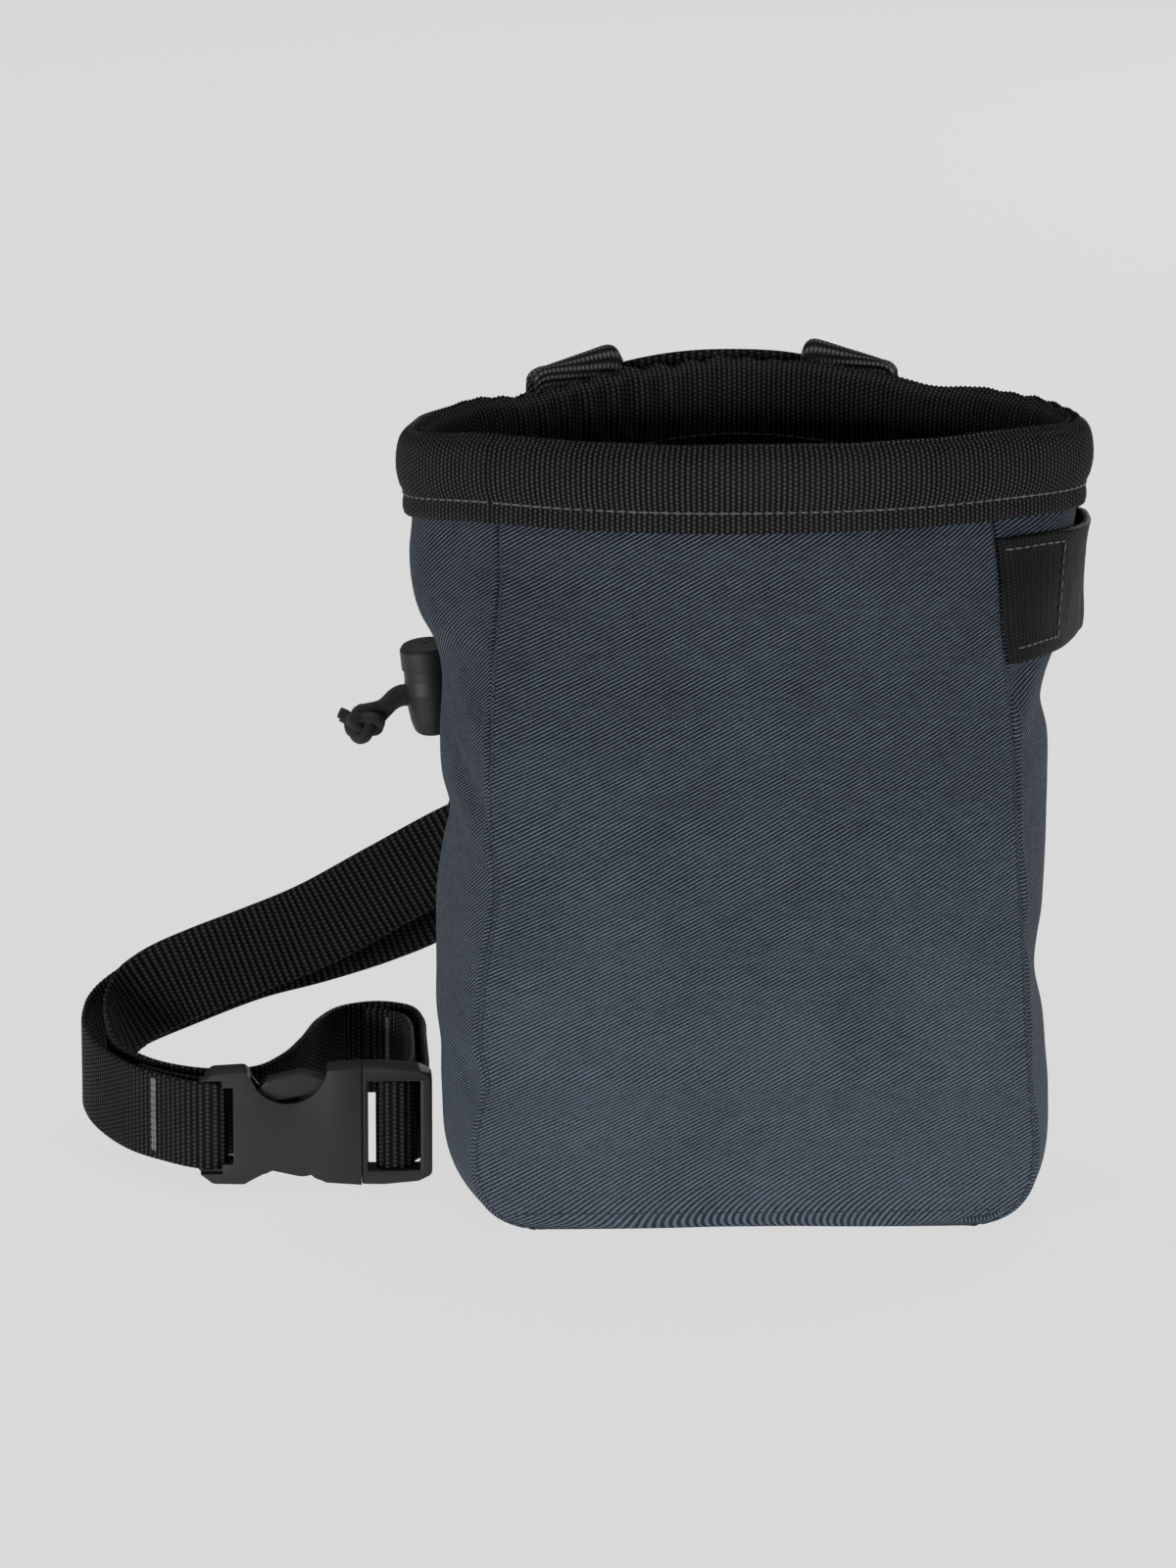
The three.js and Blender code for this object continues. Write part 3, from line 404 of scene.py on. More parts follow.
def side_grid(rows, k, is_right):
    """Points of one side of the gusset; k runs from the front seam to the back one."""
    rows, k = np.asarray(rows)[:, None, :], np.asarray(k)[None, :]
    swell = 1 - (2 * k - 1) ** 2
    x = rows[..., 1] + rows[..., 3] * swell if is_right else rows[..., 0] - rows[..., 2] * swell
    y = rows[..., 4] + (rows[..., 6] - rows[..., 4]) * k
    return lifted(np.stack(np.broadcast_arrays(x, y, rows[..., 8]), axis=-1))


def grid_normals(grid, turned):
    """Unit normals of a grid of points."""
    n = unit(np.cross(np.gradient(grid, axis=1), np.gradient(grid, axis=0)))
    return -n if turned else n


def run_lengths(grid, axis):
    """Distance along a grid from its first row or column, in millimetres."""
    step = np.linalg.norm(np.diff(grid, axis=axis), axis=-1)
    zero = np.zeros_like(np.take(step, [0], axis=axis))
    return np.concatenate([zero, np.cumsum(step, axis=axis)], axis=axis)


def creased(grid, normals, creases, across):
    """Pushes a grid along its normals by a table of soft creases: middle across and up,
    their half sizes, slope, and depth in millimetres, inward where it is positive."""
    out = grid.copy()
    for a0, z0, half_a, half_z, slope, deep in creases:
        a = (across - a0) / half_a
        z = (grid[..., 2] - z0 - slope * (across - a0)) / half_z
        out = out - normals * (deep * np.exp(-a * a - z * z))[..., None]
    return out


def turned_outward(piece):
    """The same piece with all its faces looking out."""
    mend = bmesh.new()
    mend.from_mesh(piece.data)
    bmesh.ops.recalc_face_normals(mend, faces=mend.faces)
    mend.to_mesh(piece.data)
    mend.free()
    return piece


def cloth_piece(name, grid, normals, thick, uv_a, uv_b):
    """A closed sheet of cloth: the outer grid, the same grid a thickness in, and edges."""
    n, m = grid.shape[:2]
    outer, inner = grid, grid - normals * thick
    points = np.vstack([outer.reshape(-1, 3), inner.reshape(-1, 3)]) * 0.001
    uv = np.stack([uv_a.ravel(), uv_b.ravel()], axis=1) * 0.001
    faces = []
    for i in range(n - 1):
        for j in range(m - 1):
            a, b = i * m + j, i * m + j + 1
            c, d = a + m + 1, a + m
            faces.append((a, d, c, b))
            faces.append((a + n * m, b + n * m, c + n * m, d + n * m))
    for i in range(n - 1):
        for j, turned in ((0, False), (m - 1, True)):
            a, b = i * m + j, (i + 1) * m + j
            face = (a, a + n * m, b + n * m, b)
            faces.append(face[::-1] if turned else face)
    for j in range(m - 1):
        for i, turned in ((0, True), (n - 1, False)):
            a, b = i * m + j, i * m + j + 1
            face = (a, a + n * m, b + n * m, b)
            faces.append(face[::-1] if turned else face)
    return turned_outward(new_piece(name, points, faces, np.vstack([uv, uv])))


def seam_roll(distance, deep=0.8, wide=0.5):
    """How far cloth dips toward a seam, by the distance from it, with a small ridge."""
    return deep * np.exp(-(distance / wide) ** 2) - 0.22 * np.exp(-((distance - 1.3) / 0.8) ** 2)


twill, base, of = shader("slate twill", (0.05, 0.063, 0.088), 0.9, sheen=0.03)
u, v = map_of(twill)
wander = noise_of(twill, 60, 3)
u = of("ADD", u, of("MULTIPLY", wander, 0.9))
slant, wale_gap, bead_gap = 0.5, 0.78, 0.7
line = of("ADD", of("MULTIPLY", u, -math.sin(slant)), of("MULTIPLY", v, math.cos(slant)))
thread = of("ADD", of("MULTIPLY", u, math.cos(slant)), of("MULTIPLY", v, math.sin(slant)))
wale = from_nought(of, of("SINE", of("MULTIPLY", line, 2 * math.pi / wale_gap)))
row_of = of("FLOOR", of("DIVIDE", line, wale_gap))
beads = of("SINE", of("ADD", of("MULTIPLY", thread, 2 * math.pi / bead_gap),
                      of("MULTIPLY", row_of, 2.1)))
beads = from_nought(of, beads)
slub = noise_of(twill, 900, 4, stretch=(0.3, 0.3, 1))
patch = noise_of(twill, 38, 3)
speck = noise_of(twill, 3400, 2)
weave = of("ADD", of("MULTIPLY", wale, 0.8), of("MULTIPLY", of("MULTIPLY", beads, wale), 0.25))
tone = of("MULTIPLY", of("POWER", weave, 1.7), of("ADD", 0.35, slub))
tone = of("ADD", tone, of("MULTIPLY", of("SUBTRACT", speck, 0.5), 0.7))
tone = of("ADD", tone, of("MULTIPLY", of("SUBTRACT", patch, 0.5), 0.25))
# Painted light: the twill's tone is raised towards the bottom and lowered towards the top by
# height, a painted stand-in for light bounced up from the floor.
place = twill.node_tree.nodes.new("ShaderNodeTexCoord")
apart = twill.node_tree.nodes.new("ShaderNodeSeparateXYZ")
twill.node_tree.links.new(place.outputs["Object"], apart.inputs[0])
painted_floor_bounce = of("MULTIPLY", of("SUBTRACT", 0.09, apart.outputs[2]), 1.3)
tone = of("ADD", tone, painted_floor_bounce)
finish_with(twill, base, height=of("ADD", weave, of("MULTIPLY", speck, 0.5)), strength=0.8,
            deep=0.0003, tone=tone, dark=(0.0032, 0.0052, 0.0085), light=(0.140, 0.180, 0.232))
base.inputs["Specular IOR Level"].default_value = 0.2



def closer_at_ends(edge, few, many):
    """Shares from 0 to 1 that lie closer together near both ends."""
    return np.concatenate([np.linspace(0, edge, few)[:-1], np.linspace(edge, 1 - edge, many),
                           np.linspace(1 - edge, 1, few)[1:]])


k_panel, k_side = closer_at_ends(0.06, 15, 91), closer_at_ends(0.08, 13, 51)
cloth_thick = 1.3
front_creases = (
    (-48, 26, 10, 9, 0.9, 0.9), (-50, 52, 9, 22, 0.0, -0.5), (46, 118, 12, 16, -0.5, 0.8),
    (50, 70, 9, 14, 0.3, 0.6), (-46, 100, 9, 12, 0.6, 0.8), (20, 132, 34, 9, 0.1, 0.7),
    (-20, 60, 26, 14, 0.3, -0.5), (26, 34, 30, 10, -0.2, 0.5), (-6, 104, 30, 15, -0.1, -0.4),
    (-30, 138, 22, 8, -0.2, 0.6), (44, 20, 12, 10, -0.8, 0.7), (8, 8, 44, 6, 0, 0.5),
)


def sewn(grid, normals, edges):
    """Dips a grid toward its seams and tucks its top in under the band of the mouth."""
    for edge in edges:
        grid = grid - normals * seam_roll(edge)[..., None]
    tuck = 0.9 * np.clip((grid[..., 2] - 153) / 3, 0, 1)
    return grid - normals * tuck[..., None]


def make_panel(name, is_back, creases, node):
    """The front or back panel as cloth; gives its grid and normals for the stitches."""
    grid = panel_grid(body_rows, k_panel, is_back)
    normals = grid_normals(grid, not is_back)
    normals[-3:] = normals[-4]
    uv_a = run_lengths(grid, 1)
    uv_b = -run_lengths(grid, 0)
    grid = creased(grid, normals, creases, grid[..., 0])
    edge_low = run_lengths(grid[::-1], 0)[::-1]
    grid = sewn(grid, normals, (uv_a, uv_a[:, -1:] - uv_a, edge_low))
    piece = cloth_piece(name, grid, normals, cloth_thick, uv_a, uv_b)
    piece.data.materials.append(twill)
    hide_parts(node)
    return grid, normals


front_grid, front_normals = make_panel("front_cloth", False, front_creases, "front_panel")
back_creases = ((-30, 50, 18, 24, 0.2, 0.9), (28, 40, 20, 16, -0.3, 0.8),
                (0, 112, 40, 12, 0.05, 0.9), (-40, 118, 12, 10, -0.5, 1.0),
                (40, 90, 12, 14, 0.5, 0.9), (0, 12, 46, 7, 0, 0.6))
back_grid, back_normals = make_panel("back_cloth", True, back_creases, "back_panel")

left_side = side_grid(body_rows, k_side, False)
right_side = side_grid(body_rows, k_side, True)
floor_k = np.linspace(0, 1, 62)[1:-1]
low_front = panel_grid(body_rows[-1:], floor_k, False)[0]
low_back = panel_grid(body_rows[-1:], floor_k, True)[0]
floor_grid = low_front[:, None, :] * (1 - k_side[None, :, None]) + low_back[:, None, :] * \
    k_side[None, :, None]
gusset_grid = np.vstack([left_side, floor_grid, right_side[::-1]])
gusset_normals = grid_normals(gusset_grid, False)
middle = gusset_grid.mean(axis=(0, 1))
if ((gusset_normals * (gusset_grid - middle)).sum(axis=-1)).mean() < 0:
    gusset_normals = -gusset_normals
uv_b = run_lengths(gusset_grid, 1)
uv_a = run_lengths(gusset_grid, 0)
rows_left = len(body_rows)
across = gusset_grid[..., 1]
# Creases of each side: depth from front to back, height, half sizes, slope, depth.
left_creases = (
    (-30, 98, 16, 4.5, 0.55, 1.6), (-34, 88, 12, 5.0, 0.5, -0.9), (-22, 124, 16, 6, 0.2, 1.0),
    (-32, 112, 12, 5.5, 0.7, -0.7), (-30, 33, 14, 3.6, 0.6, 1.4), (-34, 42, 12, 6, 0.3, -0.7),
    (-26, 146, 14, 7, -0.3, 0.8), (-34, 64, 10, 16, 0, -0.6), (24, 80, 11, 26, 0, 1.2),
    (24, 120, 11, 12, 0.2, 0.9), (-30, 21, 12, 5, 0.5, 0.7), (25, 40, 10, 9, -0.4, 1.0),
)
right_creases = (
    (-30, 123, 16, 4.0, 0.5, 1.5), (-34, 113, 12, 5, 0.3, -0.8), (-30, 61, 16, 4.5, -0.5, 1.3),
    (-32, 71, 14, 6, -0.3, -0.6), (-28, 92, 12, 7, 0.3, 0.6), (24, 84, 11, 22, 0, 1.1),
    (-32, 30, 12, 8, -0.4, 0.8), (26, 120, 10, 10, 0.3, 0.9), (25, 36, 10, 10, 0.3, 0.9),
)
for part, creases in ((slice(0, rows_left), left_creases),
                      (slice(len(gusset_grid) - rows_left, None), right_creases)):
    gusset_grid[part] = creased(gusset_grid[part], gusset_normals[part], creases,
                                across[part])
gusset_grid = sewn(gusset_grid, gusset_normals, (uv_b, uv_b[:, -1:] - uv_b))
gusset_grid[..., 2] = np.maximum(gusset_grid[..., 2], 0.0)
on_left = (np.arange(len(gusset_grid)) < len(gusset_grid) / 2)[:, None]
gusset = cloth_piece("gusset_cloth", gusset_grid, gusset_normals, cloth_thick,
                     np.where(on_left, -uv_b, uv_b), np.where(on_left, -uv_a, uv_a))
gusset.data.materials.append(twill)
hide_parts("gusset")

# ---------------------------------------------------------------- lining
# The lining is one smooth black cup of thin cloth that hangs inside the shell from the
# band round the mouth and lies on the bottom.
rings = []
for row in body_rows[::3].tolist() + [body_rows[-1].tolist()]:
    line = [panel_grid([row], np.linspace(0, 1, 31), False)[0],
            side_grid([row], np.linspace(0, 1, 19)[1:-1], True)[0],
            panel_grid([row], np.linspace(1, 0, 31), True)[0],
            side_grid([row], np.linspace(1, 0, 19)[1:-1], False)[0]]
    rings.append(np.vstack(line))
rings = np.array(rings)
out = unit(np.cross(np.roll(rings, -1, 1) - np.roll(rings, 1, 1),
                    np.broadcast_to((0, 0, 1.0), rings.shape)))
phase = np.linspace(0, 2 * math.pi, rings.shape[1], endpoint=False)
drape = (np.sin(phase * 9 + 1)[None, :] + 0.6 * np.sin(phase * 17 + rings[..., 2] / 19)) * \
    np.clip((150 - rings[..., 2]) / 60, 0, 1)
inner = rings - out * (3.4 + 0.7 * drape[..., None])
inner[..., 2] = np.maximum(inner[..., 2], 3.2)
n, m = inner.shape[:2]
points = list(inner.reshape(-1, 3) * 0.001)
faces = [(i * m + j, i * m + (j + 1) % m, (i + 1) * m + (j + 1) % m, (i + 1) * m + j)
         for i in range(n - 1) for j in range(m)]
points.append(inner[-1].mean(axis=0) * 0.001)
faces += [((n - 1) * m + j, (n - 1) * m + (j + 1) % m, n * m) for j in range(m)]
lining = new_piece("lining_cloth", points, faces)
thicken = lining.modifiers.new("thickness", "SOLIDIFY")
thicken.thickness = 0.0008
thicken.offset = 0
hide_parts("lining")
black, base, of = shader("lining cloth", (0.004, 0.004, 0.0043), 0.9)
base.inputs["Specular IOR Level"].default_value = 0.15
finish_with(black, base, height=noise_of(black, 2600, 2), strength=0.4, deep=0.0001,
            tone=noise_of(black, 60, 3), dark=(0.002, 0.002, 0.0022),
            light=(0.006, 0.006, 0.0065))
lining.data.materials.append(black)

# ---------------------------------------------------------------- rim band
# A foam roll goes round the mouth inside a black ribbed webbing that is stitched down
# outside and inside; its two selvedges meet in a double ridge along the top.
band_section = np.array((
    (0.07, -0.37), (0.13, -0.385), (0.2, -0.37), (0.215, -0.2), (0.19, -0.05), (0.3, 0.1),
    (0.38, 0.34), (0.375, 0.6), (0.3, 0.82), (0.17, 0.93), (0.07, 0.96), (-0.02, 1.02),
    (-0.12, 0.87), (-0.22, 1.02), (-0.34, 0.96), (-0.47, 0.91), (-0.6, 0.8), (-0.69, 0.55),
    (-0.7, 0.25), (-0.63, -0.02), (-0.645, -0.2), (-0.62, -0.37), (-0.55, -0.385),
    (-0.49, -0.37), (-0.47, -0.1), (-0.45, 0.05), (-0.2, 0.07), (0.02, 0.05), (0.055, -0.1),
))
top_row = body_rows[:1]
ring = np.vstack([
    panel_grid(top_row, np.linspace(0, 1, 200), False)[0][:-1],
    side_grid(top_row, np.linspace(0, 1, 140), True)[0][:-1],
    panel_grid(top_row, np.linspace(1, 0, 200), True)[0][:-1],
    side_grid(top_row, np.linspace(1, 0, 140), False)[0][:-1],
])
ring = np.vstack([ring, ring[:1]])
for _ in range(30):
    ring[:-1] = 0.5 * ring[:-1] + 0.25 * (np.roll(ring[:-1], 1, 0) + np.roll(ring[:-1], -1, 0))
    ring[-1] = ring[0]
ring_run = distances_along(ring)
rim_rib_gap = 1.18
rib_count = int(round(ring_run[-1] / rim_rib_gap))
steps = rib_count * 4
at = np.arange(steps) / steps * ring_run[-1]
ring = points_at(at, ring_run, ring)
ring_out = np.roll(ring, -1, 0) - np.roll(ring, 1, 0)
ring_out = unit(np.stack([ring_out[:, 1], -ring_out[:, 0], np.zeros(steps)], axis=1))
closed = np.vstack([band_section[-2:], band_section, band_section[:3]])
fine = []
for i in range(2, len(closed) - 3):
    a, b, c, d = closed[i - 1:i + 3]
    for k in (0.0, 0.5):
        fine.append(between(a, b, c, d, k))
fine = np.array(fine)
angle = at / ring_run[-1] * 2 * math.pi
puff = (0.5 * np.sin(angle * 7 + 0.6) + 0.35 * np.sin(angle * 12 + 2.1)
        + 0.3 * np.sin(angle * 19 + 4.0))
back_side = np.clip(ring[:, 1] / 20, 0, 1)
puff = puff * (0.45 + 0.75 * back_side)
gathers = np.sin(at / 6.4 * 2 * math.pi + 1.3 * np.sin(angle * 5)) * back_side * (
    0.45 + 0.55 * np.sin(angle * 3 + 0.5)) * 0.55
rib = np.cos(2 * math.pi * np.arange(steps) / 4)
half_rib = np.cos(2 * math.pi * (np.arange(steps) / 4 + 0.5))
pad_thick, pad_high = 8.6, 13.5
loops = []
for o, up in fine:
    wall = 1.0 if -0.36 < up else 0.0
    ridge = math.exp(-((o + 0.12) / 0.16) ** 2) if up > 0.85 else 0
    sink = 0.16 * rib if o > -0.12 else 0.16 * half_rib
    body = 1.0 if up > 0.02 else 0.25
    reach = o * pad_thick + wall * np.sign(o + 0.2) * sink * (0.4 if ridge > 0.5 else 1)
    reach = reach + body * puff * (0.42 if o < -0.2 else 0.16)
    reach = reach + body * gathers * (1.5 if o < -0.2 else 0.25)
    rise = up * pad_high + sink * 1.5 * ridge + (0.5 * puff + 0.8 * gathers) * max(0, up) ** 2
    loops.append(ring + ring_out * reach[:, None] + np.array((0, 0, 1.0)) * rise[:, None])
loops = np.array(loops).transpose(1, 0, 2)
n, m = loops.shape[:2]
around = distances_along(loops[0])
faces = [(i * m + j, ((i + 1) % n) * m + j, ((i + 1) % n) * m + (j + 1) % m,
          i * m + (j + 1) % m) for i in range(n) for j in range(m)]
band_uv = np.stack(np.broadcast_arrays(at[:, None], around[None, :]), axis=-1).reshape(-1, 2)
band = turned_outward(new_piece("rim_webbing", loops.reshape(-1, 3) * 0.001, faces,
                                band_uv * 0.001))
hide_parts("rim_band")


def webbing(name, pitch, thread, dark, light, strength=0.8):
    """Ribbed nylon webbing: ribs across the tape, each a row of small thread loops."""
    made, base, of = shader(name, light, 0.55)
    base.inputs["Specular IOR Level"].default_value = 0.1
    u, v = map_of(made)
    ribs = from_nought(of, of("COSINE", of("MULTIPLY", u, 2 * math.pi / pitch)))
    order = of("MULTIPLY", of("FLOOR", of("ADD", of("DIVIDE", u, pitch), 0.5)), math.pi)
    loops = of("SINE", of("ADD", of("MULTIPLY", v, 2 * math.pi / thread), order))
    loops = from_nought(of, loops)
    weave = of("MULTIPLY", of("POWER", ribs, 0.7), of("ADD", of("MULTIPLY", loops, 0.55),
                                                      0.45))
    fuzz = noise_of(made, 2600, 3)
    patch = noise_of(made, 70, 3)
    tone = of("MULTIPLY", of("POWER", weave, 2.4), of("ADD", 0.1, of("MULTIPLY", fuzz, 1.9)))
    tone = of("ADD", tone, of("MULTIPLY", of("SUBTRACT", patch, 0.5), 0.12))
    finish_with(made, base, height=of("ADD", weave, of("MULTIPLY", fuzz, 0.3)),
                strength=strength, deep=0.00028, tone=tone, dark=dark, light=light,
                rough=of("SUBTRACT", 0.66, of("MULTIPLY", weave, 0.2)))
    return made


band_cloth = webbing("rim webbing cloth", pitch=rim_rib_gap, thread=1.0,
                     dark=(0.0008, 0.0008, 0.0009), light=(0.066, 0.066, 0.067))
band.data.materials.append(band_cloth)

# ---------------------------------------------------------------- stitches
# Every seam is machine sewn with a lock stitch: grey thread on the black webbing, black
# and slate thread on the twill. Each stitch is a short thread whose two ends dive in.
stitch_maker = bpy.data.node_groups.new("stitch run", "GeometryNodeTree")
ports = {}
for label, kind in (("Points", "Geometry"), ("Stitch length", "Float"),
                    ("Thread width", "Float"), ("Seed", "Int"), ("Thread", "Material")):
    ports[label] = stitch_maker.interface.new_socket(label, in_out="INPUT",
                                                     socket_type="NodeSocket" + kind)
stitch_maker.interface.new_socket("Stitches", in_out="OUTPUT",
                                  socket_type="NodeSocketGeometry")


def added(kind, sources=(), **settings):
    """A node of the stitch run with its settings, its inputs fed by values or outputs."""
    node = stitch_maker.nodes.new(kind)
    for key, value in settings.items():
        setattr(node, key, value)
    for port, source in sources:
        if isinstance(source, bpy.types.NodeSocket):
            stitch_maker.links.new(source, node.inputs[port])
        else:
            node.inputs[port].default_value = source
    return node.outputs


given = added("NodeGroupInput")
bead = added("GeometryNodeMeshUVSphere", (("Segments", 8), ("Rings", 8), ("Radius", 0.5)))
size = added("ShaderNodeCombineXYZ", (("X", given["Thread width"]), ("Y", given["Thread width"]),
                                      ("Z", given["Stitch length"])))
along_of = added("GeometryNodeInputNamedAttribute", (("Name", "along"),),
                 data_type="FLOAT_VECTOR")
aim = added("FunctionNodeAlignRotationToVector", (("Vector", along_of[0]),), axis="Z")
vary = added("FunctionNodeRandomValue", ((0, (0.9, 0.9, 0.88)), (1, (1.1, 1.1, 1.06)),
                                         ("Seed", given["Seed"])), data_type="FLOAT_VECTOR")
grow = added("ShaderNodeVectorMath", ((0, size[0]), (1, vary[0])), operation="MULTIPLY")
place = added("GeometryNodeInstanceOnPoints", (("Points", given["Points"]),
                                               ("Instance", bead["Mesh"]),
                                               ("Rotation", aim[0]), ("Scale", grow[0])))
real = added("GeometryNodeRealizeInstances", ((0, place[0]),))
paint = added("GeometryNodeSetMaterial", (("Geometry", real[0]), ("Material", given["Thread"])))
added("NodeGroupOutput", ((0, paint[0]),))


def thread_of(name, dark, light):
    """Sewing thread, mottled between a dark and a light tone."""
    made, base, of = shader(name, light, 0.6, sheen=0.2)
    fibre = noise_of(made, 3000, 3)
    finish_with(made, base, height=fibre, strength=0.5, deep=0.0001, tone=fibre, dark=dark,
                light=light)
    return made


grey_thread = thread_of("grey thread", (0.045, 0.046, 0.048), (0.15, 0.152, 0.155))
slate_thread = thread_of("slate thread", (0.006, 0.008, 0.012), (0.022, 0.026, 0.035))
black_thread = thread_of("black thread", (0.0015, 0.0018, 0.0024), (0.006, 0.007, 0.009))
pale_thread = thread_of("pale thread", (0.10, 0.10, 0.10), (0.22, 0.22, 0.22))


def stitch_run(name, line, gap, long, wide, thread, seed, is_ring=False):
    """Stitches at even gaps along a line in millimetres that lies on the cloth."""
    line = np.array(line, float)
    if is_ring:
        line = np.vstack([line, line[:1]])
    run = distances_along(line)
    at = np.arange(gap / 2, run[-1] - (0 if is_ring else gap / 3), gap)
    spots = points_at(at, run, line)
    ahead = points_at(np.minimum(at + 0.6, run[-1]), run, line)
    behind = points_at(np.maximum(at - 0.6, 0), run, line)
    seeds = bpy.data.meshes.new(name + "_spots")
    seeds.from_pydata([tuple(p * 0.001) for p in spots], [], [])
    seeds.attributes.new("along", "FLOAT_VECTOR", "POINT").data.foreach_set(
        "vector", unit(ahead - behind).astype(np.float32).ravel())
    source = bpy.data.objects.new(name + "_source", seeds)
    scene.collection.objects.link(source)
    maker = source.modifiers.new("stitches", "NODES")
    maker.node_group = stitch_maker
    for label, value in (("Stitch length", long * 0.001), ("Thread width", wide * 0.001),
                         ("Seed", seed), ("Thread", thread)):
        maker[ports[label].identifier] = value
    source.update_tag()
    bpy.context.view_layer.update()
    ready = source.evaluated_get(bpy.context.evaluated_depsgraph_get())
    mesh = bpy.data.meshes.new_from_object(ready)
    mesh.name = name
    mesh.polygons.foreach_set("use_smooth", [True] * len(mesh.polygons))
    piece = bpy.data.objects.new(name, mesh)
    scene.collection.objects.link(piece)
    bpy.data.objects.remove(source)
    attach(piece, "bag")
    return piece


def near_section(o, up):
    """The closest line of the band's loops to a place in its section."""
    return int(np.argmin(np.hypot(fine[:, 0] - o, (fine[:, 1] - up) * 1.5)))


outside = loops[:, near_section(0.19, -0.05)] + ring_out * 0.12
inside = loops[:, near_section(-0.645, -0.2)] - ring_out * 0.12
for side, line, seed in (("outside", outside, 3), ("inside", inside, 5)):
    stitch_run(f"rim_stitches_{side}", line, gap=2.8, long=2.3, wide=0.42, thread=grey_thread,
               seed=seed, is_ring=True)


def on_grid(grid, normals, edge, distance, lift):
    """A line on a cloth grid at a distance from one edge, lifted a little off it."""
    made = []
    for i in range(len(grid)):
        j = int(np.argmin(np.abs(edge[i] - distance)))
        made.append(grid[i, j] + normals[i, j] * lift)
    return np.array(made)


for label, grid, normals in (("front", front_grid, front_normals),
                             ("back", back_grid, back_normals)):
    from_left = run_lengths(grid, 1)
    from_right = from_left[:, -1:] - from_left
    for hand, edge in (("left", from_left), ("right", from_right)):
        line = on_grid(grid, normals, edge, 1.2, 0.08)
        stitch_run(f"{label}_{hand}_stitches", line[9:], gap=2.5, long=1.9, wide=0.4,
                   thread=black_thread, seed=7)
    low = grid[-8, 6:-6] + normals[-8, 6:-6] * 0.1
    stitch_run(f"{label}_bottom_stitches", low, gap=2.6, long=2.0, wide=0.36,
               thread=slate_thread, seed=8)

# ---------------------------------------------------------------- belt loops
# Two straps of the same black webbing stand up behind the mouth: each is sewn down
# inside the band, folds over the belt and is sewn to the back panel below it.
def back_edge_at(x):
    """Top edge of the back panel at x: the point, its outward and its lengthwise direction."""
    row = body_rows[0]
    k = (np.array((x, x - 2, x + 2)) - row[0]) / (row[1] - row[0])
    p, a, b = panel_grid([row], k, True)[0]
    t = unit(b - a)
    return p, unit(np.array((-t[1], t[0], 0))), unit(np.array((t[0], t[1], 0)))


def strap(name, course, across, thick, width, pitch, columns=9, wave=0.12, bow=0.0):
    """A woven strap along a course, with ribs across it and rounded edges."""
    n = len(course)
    t = unit(np.gradient(course, axis=0))
    w = unit(across - t * (across * t).sum(axis=1, keepdims=True))
    up = np.cross(t, w)
    run = distances_along(course)
    section = []
    half = width / 2
    for s in np.linspace(-half + 0.5, half - 0.5, columns):
        section.append((s, thick / 2))
    section += [(half - 0.15, thick * 0.36), (half, 0), (half - 0.15, -thick * 0.36)]
    for s in np.linspace(half - 0.5, -half + 0.5, columns):
        section.append((s, -thick / 2))
    section += [(-half + 0.15, -thick * 0.36), (-half, 0), (-half + 0.15, thick * 0.36)]
    section = np.array(section)
    ribs = wave * (np.cos(2 * math.pi * run / pitch) - 1)
    grid = course[:, None, :] + w[:, None, :] * section[None, :, :1]
    thick_at = section[None, :, 1] * (1 + 2 * ribs[:, None] / thick)
    grid = grid + up[:, None, :] * thick_at[..., None]
    grid[..., 2] -= bow * np.abs(section[None, :, 0] / half) ** 9
    m = len(section)
    points = list(grid.reshape(-1, 3) * 0.001)
    uv = np.stack(np.broadcast_arrays(run[:, None], section[None, :, 0] +
                                      20 * (section[None, :, 1] < 0)), axis=-1).reshape(-1, 2)
    return turned_outward(new_piece(name, points, tube_faces(n, m), uv * 0.001))


